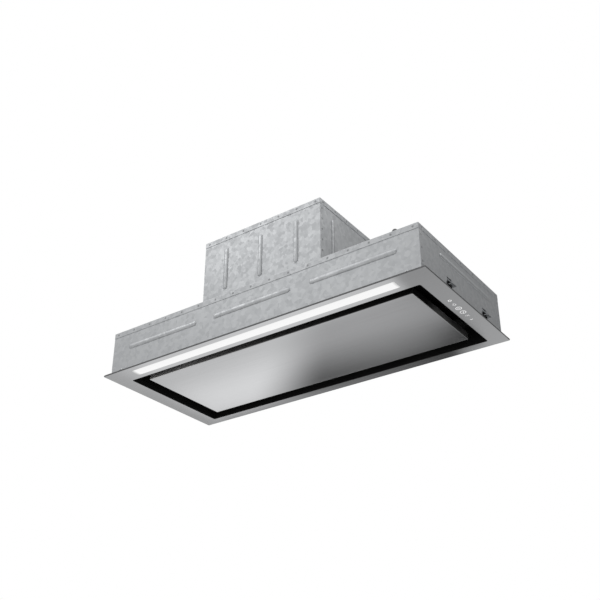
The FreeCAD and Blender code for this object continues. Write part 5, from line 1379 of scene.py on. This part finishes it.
shell_low, shell_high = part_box("plenum_shell")
box_low, box_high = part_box("blower_box")
seams = bmesh.new()
folded_seams(seams, shell_low, shell_high, SHELL_LAP_START)
folded_seams(seams, box_low, box_high, box_low.z + BOX_LAP_START)
seam_mesh = to_mesh(seams, "folded_seams", smooth=False)
settle(mesh_piece("folded_seams", seam_mesh, finishes["galvanised_sheet"]), "hood")

# %% Places on walls
def even_steps(start, end, pitch):
    """Equal steps from start to end, as near to a pitch as they can be."""
    count = max(2, round((end - start) / pitch) + 1)
    return [start + (end - start) * i / (count - 1) for i in range(count)]


def on_walls(low, high, axis, spots, run):
    """Places on the two walls of a box that face along an axis; a spot gives the other two numbers."""
    places = []
    for side, wall in ((-1, low[axis]), (1, high[axis])):
        facing = [0, 0, 0]
        facing[axis] = side
        for spot in spots:
            point = list(spot)
            point[axis] = wall
            places.append((point, facing, run))
    return places


print("steps of about 0.3 in 1:", [round(step, 2) for step in even_steps(0.0, 1.0, 0.3)])

# %% Spot welds on the seams
WELD_RADIUS = 2.6 * MM
WELD_SIDES = 12
WELD_PITCH = 52.0 * MM
WELD_INSET = 6.0 * MM
SHELL_WELD_START = 24.0 * MM
BOX_WELD_START = 18.0 * MM
WELD_PROFILE = [(1.0, -0.02 * MM), (0.86, 0.20 * MM), (0.62, 0.05 * MM)]


def seam_welds(low, high, floor_z):
    """Welds along the lid's border and up the corner laps."""
    lid, lap = Vector((SHEET,) * 3), Vector((LAP_SHEET,) * 3)
    top = high.z - LID_LAP / 2
    lap_top = high.z - LID_LAP - 2 * WELD_INSET
    xs = even_steps(low.x + 2 * WELD_INSET, high.x - 2 * WELD_INSET, WELD_PITCH)
    ys = even_steps(low.y + 2 * WELD_INSET, high.y - 2 * WELD_INSET, WELD_PITCH)
    lap_ys = (low.y + CORNER_LAP / 2, high.y - CORNER_LAP / 2)
    lap_zs = even_steps(floor_z, lap_top, WELD_PITCH / 2)
    places = on_walls(low - lid, high + lid, 1, [(x, 0.0, top) for x in xs], X_AXIS)
    places += on_walls(low - lid, high + lid, 0, [(0.0, y, top) for y in ys], Y_AXIS)
    places += on_walls(low - lap, high + lap, 0, [(0.0, y, z) for y in lap_ys for z in lap_zs], Y_AXIS)
    return places


dimple = bmesh.new()
stack(dimple, [ring_points(share * WELD_RADIUS, z, WELD_SIDES) for share, z in WELD_PROFILE])
weld = to_mesh(dimple, "weld")
weld_places = seam_welds(shell_low, shell_high, SHELL_WELD_START)
weld_places += seam_welds(box_low, box_high, box_low.z + BOX_WELD_START)
settle(set_copies("spot_welds", weld, "weld_mark", weld_places), "hood")

# %% Spot welds on the stiffeners
STIFFENER_SHEET = 0.8 * MM
STIFFENER_FOOT = 4.0 * MM

foot_welds = []
for solid in islands("panel_stiffeners"):
    low, high = corners(solid)
    for weld_y in (low.y + STIFFENER_FOOT, high.y - STIFFENER_FOOT):
        for weld_x in even_steps(low.x + WELD_INSET, high.x - WELD_INSET, WELD_PITCH):
            foot_welds.append(((weld_x, weld_y, low.z + STIFFENER_SHEET), Z_AXIS, X_AXIS))
settle(set_copies("stiffener_welds", weld, "weld_mark", foot_welds), "panel")

# %% Pressed beads
BEAD_WIDTH = 12.0 * MM
BEAD_RISE = 1.9 * MM
WALL_BEAD_XS = (-0.26, 0.0, 0.26)
WALL_BEAD_SHARE = 0.56
END_BEAD_Y = 0.02
END_BEAD_SHARE = 0.70
BOX_BEAD_XS = (-0.10, 0.0, 0.10)
BOX_BEAD_YS = (-0.10, 0.06)
TOP_BEAD_X = 0.295
TOP_BEAD_Y = 0.115

wall_spots = [(x, 0.0, WALL_BEAD_SHARE * shell_high.z) for x in WALL_BEAD_XS]
end_spots = [(0.0, END_BEAD_Y, END_BEAD_SHARE * shell_high.z)]
box_z = (box_low.z + box_high.z) / 2
box_places = on_walls(box_low, box_high, 1, [(x, 0.0, box_z) for x in BOX_BEAD_XS], Z_AXIS)
box_places += on_walls(box_low, box_high, 0, [(0.0, y, box_z) for y in BOX_BEAD_YS], Z_AXIS)
top_spots = [(x, y) for x in (-TOP_BEAD_X, TOP_BEAD_X) for y in (-TOP_BEAD_Y, TOP_BEAD_Y)]
top_spots.append((-TOP_BEAD_X, 0.0))
BEADS = {
    "wall_beads": (210.0 * MM, on_walls(shell_low, shell_high, 1, wall_spots, X_AXIS)),
    "end_beads": (230.0 * MM, on_walls(shell_low, shell_high, 0, end_spots, Y_AXIS)),
    "box_beads": (112.0 * MM, box_places),
    "top_beads": (170.0 * MM, [((*spot, shell_high.z), Z_AXIS, X_AXIS) for spot in top_spots]),
}
for name, (length, places) in BEADS.items():
    bead = pressed_bead(name, length, BEAD_WIDTH, BEAD_RISE)
    settle(set_copies(name, bead, "galvanised_sheet", places), "hood")

# %% [markdown]
# ## Outlet collar
# The collar is a thin moulding, and gussets round the foot of its spigot make it stiff. A small bead
# near the top keeps a duct clamp from slipping off. An array round an empty could repeat the gusset,
# but the growth on points does it with what is already here. The bead follows a full circle, so it is
# one section stacked round the spigot.

# %% Gussets on the collar
SPIGOT_RADIUS = 74.5 * MM
COLLAR_FOOT = 3.0 * MM
GUSSET_COUNT = 16
GUSSET_REACH = 8.0 * MM
GUSSET_RISE = 9.0 * MM
GUSSET_HALF = 1.0 * MM
GUSSET_SINK = 0.4 * MM
GUSSET_BLUNT = 0.12


def gusset_mesh():
    """A triangular rib from the origin outwards along X and upwards along Z."""
    reach, rise = GUSSET_REACH, GUSSET_RISE
    outline = [(-GUSSET_SINK, 0.0), (reach, 0.0), (reach, GUSSET_BLUNT * rise)]
    outline += [(GUSSET_BLUNT * reach, rise), (-GUSSET_SINK, rise)]
    shape = bmesh.new()
    stack(shape, [[(x, y, z) for x, z in outline] for y in (-GUSSET_HALF, GUSSET_HALF)])
    return to_mesh(shape, "gusset", smooth=False)


collar_low, collar_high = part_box("outlet_collar")
collar_axis = (collar_low + collar_high) / 2
collar_axis.z = 0.0
gusset_places = []
for turn in turns(GUSSET_COUNT, 0.5):
    out = Vector((math.cos(turn), math.sin(turn), 0.0))
    foot = collar_axis + out * SPIGOT_RADIUS + Vector((0.0, 0.0, collar_low.z + COLLAR_FOOT))
    gusset_places.append((foot, Z_AXIS, out))
gussets = set_copies("collar_gussets", gusset_mesh(), "black_moulding", gusset_places)
settle(gussets, "hood")

# %% Clamp bead on the collar
CLAMP_BEAD = 0.8 * MM
CLAMP_FLANK = 0.35 * CLAMP_BEAD
CLAMP_FLANK_UP = 0.6 * CLAMP_BEAD
CLAMP_CREST = 0.7 * CLAMP_BEAD
CLAMP_SINK = 0.3 * MM
CLAMP_BELOW_TOP = 7.0 * MM
CLAMP_SIDES = 96

clamp_z = collar_high.z - CLAMP_BELOW_TOP
lower_half = [(-CLAMP_SINK, -CLAMP_BEAD), (CLAMP_FLANK, -CLAMP_FLANK_UP), (CLAMP_CREST, 0.0)]
clamp_section = lower_half + [(out, -up) for out, up in reversed(lower_half[:-1])]
clamp = bmesh.new()
clamp_rings = [ring_points(SPIGOT_RADIUS + out, clamp_z + up, CLAMP_SIDES) for out, up in clamp_section]
stack(clamp, clamp_rings, ends="joined")
bmesh.ops.translate(clamp, verts=clamp.verts, vec=collar_axis)
clamp_mesh = to_mesh(clamp, "clamp_bead")
settle(mesh_piece("clamp_bead", clamp_mesh, finishes["black_moulding"]), "hood")

# %% [markdown]
# ## Gland and lid ribs
# The nut of the mains gland has short grip ribs, and long ribs stiffen the lid of the electronics
# box. Each could be modelled with its moulding, but a rib is a small pressed bead, so the same shape
# is set round the nut and in a row on the lid.

# %% Grips on the gland
GRIP_COUNT = 18
GRIP_OUT = 2.5 * MM
GRIP_SIZE = (4.6 * MM, 1.8 * MM, 0.5 * MM)

gland_low, gland_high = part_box("mains_gland")
nut_radius = (gland_high.z - gland_low.z) / 2
nut_middle = (gland_low + gland_high) / 2
nut_middle.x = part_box("electronics_case")[1].x + GRIP_OUT
grip_places = []
for turn in turns(GRIP_COUNT):
    out = Vector((0.0, math.cos(turn), math.sin(turn)))
    grip_places.append((nut_middle + out * nut_radius, out, X_AXIS))
grip = pressed_bead("grip", *GRIP_SIZE)
settle(set_copies("gland_grips", grip, "black_moulding", grip_places), "hood")

# %% Ribs on the lid
LID_RIB_MARGIN = 30.0 * MM
LID_RIB_PITCH = 16.0 * MM
LID_RIB_SIZE = (78.0 * MM, 3.0 * MM, 1.1 * MM)

lid_low, lid_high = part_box("electronics_lid")
lid_y = (lid_low.y + lid_high.y) / 2
lid_xs = even_steps(lid_low.x + LID_RIB_MARGIN, lid_high.x - LID_RIB_MARGIN, LID_RIB_PITCH)
lid_places = [((x, lid_y, lid_high.z), Z_AXIS, Y_AXIS) for x in lid_xs]
lid_rib = pressed_bead("lid_rib", *LID_RIB_SIZE)
settle(set_copies("lid_ribs", lid_rib, "grey_moulding", lid_places), "hood")

# %% [markdown]
# ## Foam seal on the rim
# A strip of closed-cell foam lies on the seat of the bezel and closes the small gap above it. From
# below it is the thin dark line round the steel. A curve with a bevel could sweep it, but then its
# corners need care. Here the rounded rectangle of the seams serves again: six of them, stacked and
# joined, are a strip with eased upper edges.

# %% Foam seal
SEAL_INSET = 1.2 * MM
SEAL_WIDTH = 7.0 * MM
SEAL_HEIGHT = 1.5 * MM
SEAL_EASE = 0.5 * MM
SEAL_SHOULDER = 0.75 * SEAL_HEIGHT
SEAL_CORNER = 3.0 * MM
SEAL_CORNER_STEPS = 5

seal_section = [
    (0.0, 0.0), (0.0, SEAL_SHOULDER), (SEAL_EASE, SEAL_HEIGHT), (SEAL_WIDTH - SEAL_EASE, SEAL_HEIGHT),
    (SEAL_WIDTH, SEAL_SHOULDER), (SEAL_WIDTH, 0.0),
]
seal = bmesh.new()
seal_rings = [
    rounded_ring(cad_low, cad_high, -SEAL_INSET - inward, up, SEAL_CORNER, SEAL_CORNER_STEPS)
    for inward, up in seal_section
]
stack(seal, seal_rings, ends="joined")
seal_mesh = to_mesh(seal, "foam_seal", smooth=False)
settle(mesh_piece("foam_seal", seal_mesh, finishes["foam_strip"]), "hood")

# %% [markdown]
# ## Touch marks
# Six back-lit marks stand in a row in the right border. They are general signs: on and off, light,
# fan, timer, speed and boost. Text objects or a picture could show them, but a font may lack a sign
# and a picture isn't a shape. So each is drawn with arcs and bars in millimetres about its middle,
# and is given a skin's thickness, so that it lies just proud of the steel.

# %% Arcs and bars
def arc(radius, width, first=0.0, last=360.0, steps=28, y=0.0):
    """The quads of a curved stroke."""
    inner = arc_points(0.0, y, radius - width / 2, first, last, steps)
    outer = arc_points(0.0, y, radius + width / 2, first, last, steps)
    return list(zip(inner, outer, outer[1:], inner[1:]))


def bar(start, end, width):
    """The quad of a straight stroke."""
    run = (Vector(end) - Vector(start)).normalized()
    side = Vector((-run.y, run.x)) * width / 2
    return [(Vector(start) - side, Vector(end) - side, Vector(end) + side, Vector(start) + side)]


print("a full ring has", len(arc(1.0, 0.5)), "quads")

# %% Signs of the touch marks
LINE = 1.1
FINE_LINE = 0.75
BLADE_LINE = 1.3
BLADE_STEPS = 8

blades = []
for start in (0.0, 120.0, 240.0):
    blades += arc(2.6, BLADE_LINE, start, start + 70.0, BLADE_STEPS)
TOUCH_MARKS = {
    "on_off": arc(3.2, LINE, 120.0, 420.0) + bar((0.0, 0.8), (0.0, 4.2), LINE),
    "light": arc(3.2, FINE_LINE, y=0.8) + bar((-1.8, -3.9), (1.8, -3.9), FINE_LINE),
    "fan": arc(6.0, LINE) + blades,
    "timer": (
        arc(6.0, LINE)
        + bar((0.0, 0.0), (0.0, 3.6), LINE)
        + bar((0.0, 0.0), (2.8, -1.6), LINE)
    ),
    "speed": (
        bar((-3.2, -3.3), (-3.2, 0.1), FINE_LINE)
        + bar((0.0, -3.3), (0.0, 1.7), FINE_LINE)
        + bar((3.2, -3.3), (3.2, 3.3), FINE_LINE)
    ),
    "boost": bar((-3.0, -1.4), (0.0, 1.6), LINE) + bar((3.0, -1.4), (0.0, 1.6), LINE),
}
print("quads in the marks:", {name: len(quads) for name, quads in TOUCH_MARKS.items()})

# %% Touch marks
MARK_SKIN = 0.06 * MM
MARK_PITCH = 19.5 * MM
MARK_MIDDLE_Y = 4.0 * MM
MARK_OUTWARD = 1.5 * MM
MARK_MERGE = 0.01 * MM

touch_low, touch_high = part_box("touch_housing")
mark_x = (touch_low.x + touch_high.x) / 2 + MARK_OUTWARD
mark_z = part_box("bezel")[0].z
first_y = MARK_MIDDLE_Y - (len(TOUCH_MARKS) - 1) / 2 * MARK_PITCH
marks = bmesh.new()
for number, quads in enumerate(TOUCH_MARKS.values()):
    mark_y = first_y + number * MARK_PITCH
    for quad in quads:
        marks.faces.new([marks.verts.new((mark_x + x * MM, mark_y + y * MM, mark_z)) for x, y in quad])
bmesh.ops.remove_doubles(marks, verts=marks.verts, dist=MARK_MERGE)
skin = bmesh.ops.extrude_face_region(marks, geom=marks.faces[:])
for part in skin["geom"]:
    if isinstance(part, bmesh.types.BMVert):
        part.co.z -= MARK_SKIN
mark_mesh = to_mesh(marks, "touch_marks", smooth=False)
settle(mesh_piece("touch_marks", mark_mesh, finishes["touch_light"]), "hood")

# %% [markdown]
# ## Sizes and the end
# The dressed hood has to keep the size of its solids, or it would no longer fit its mounts.
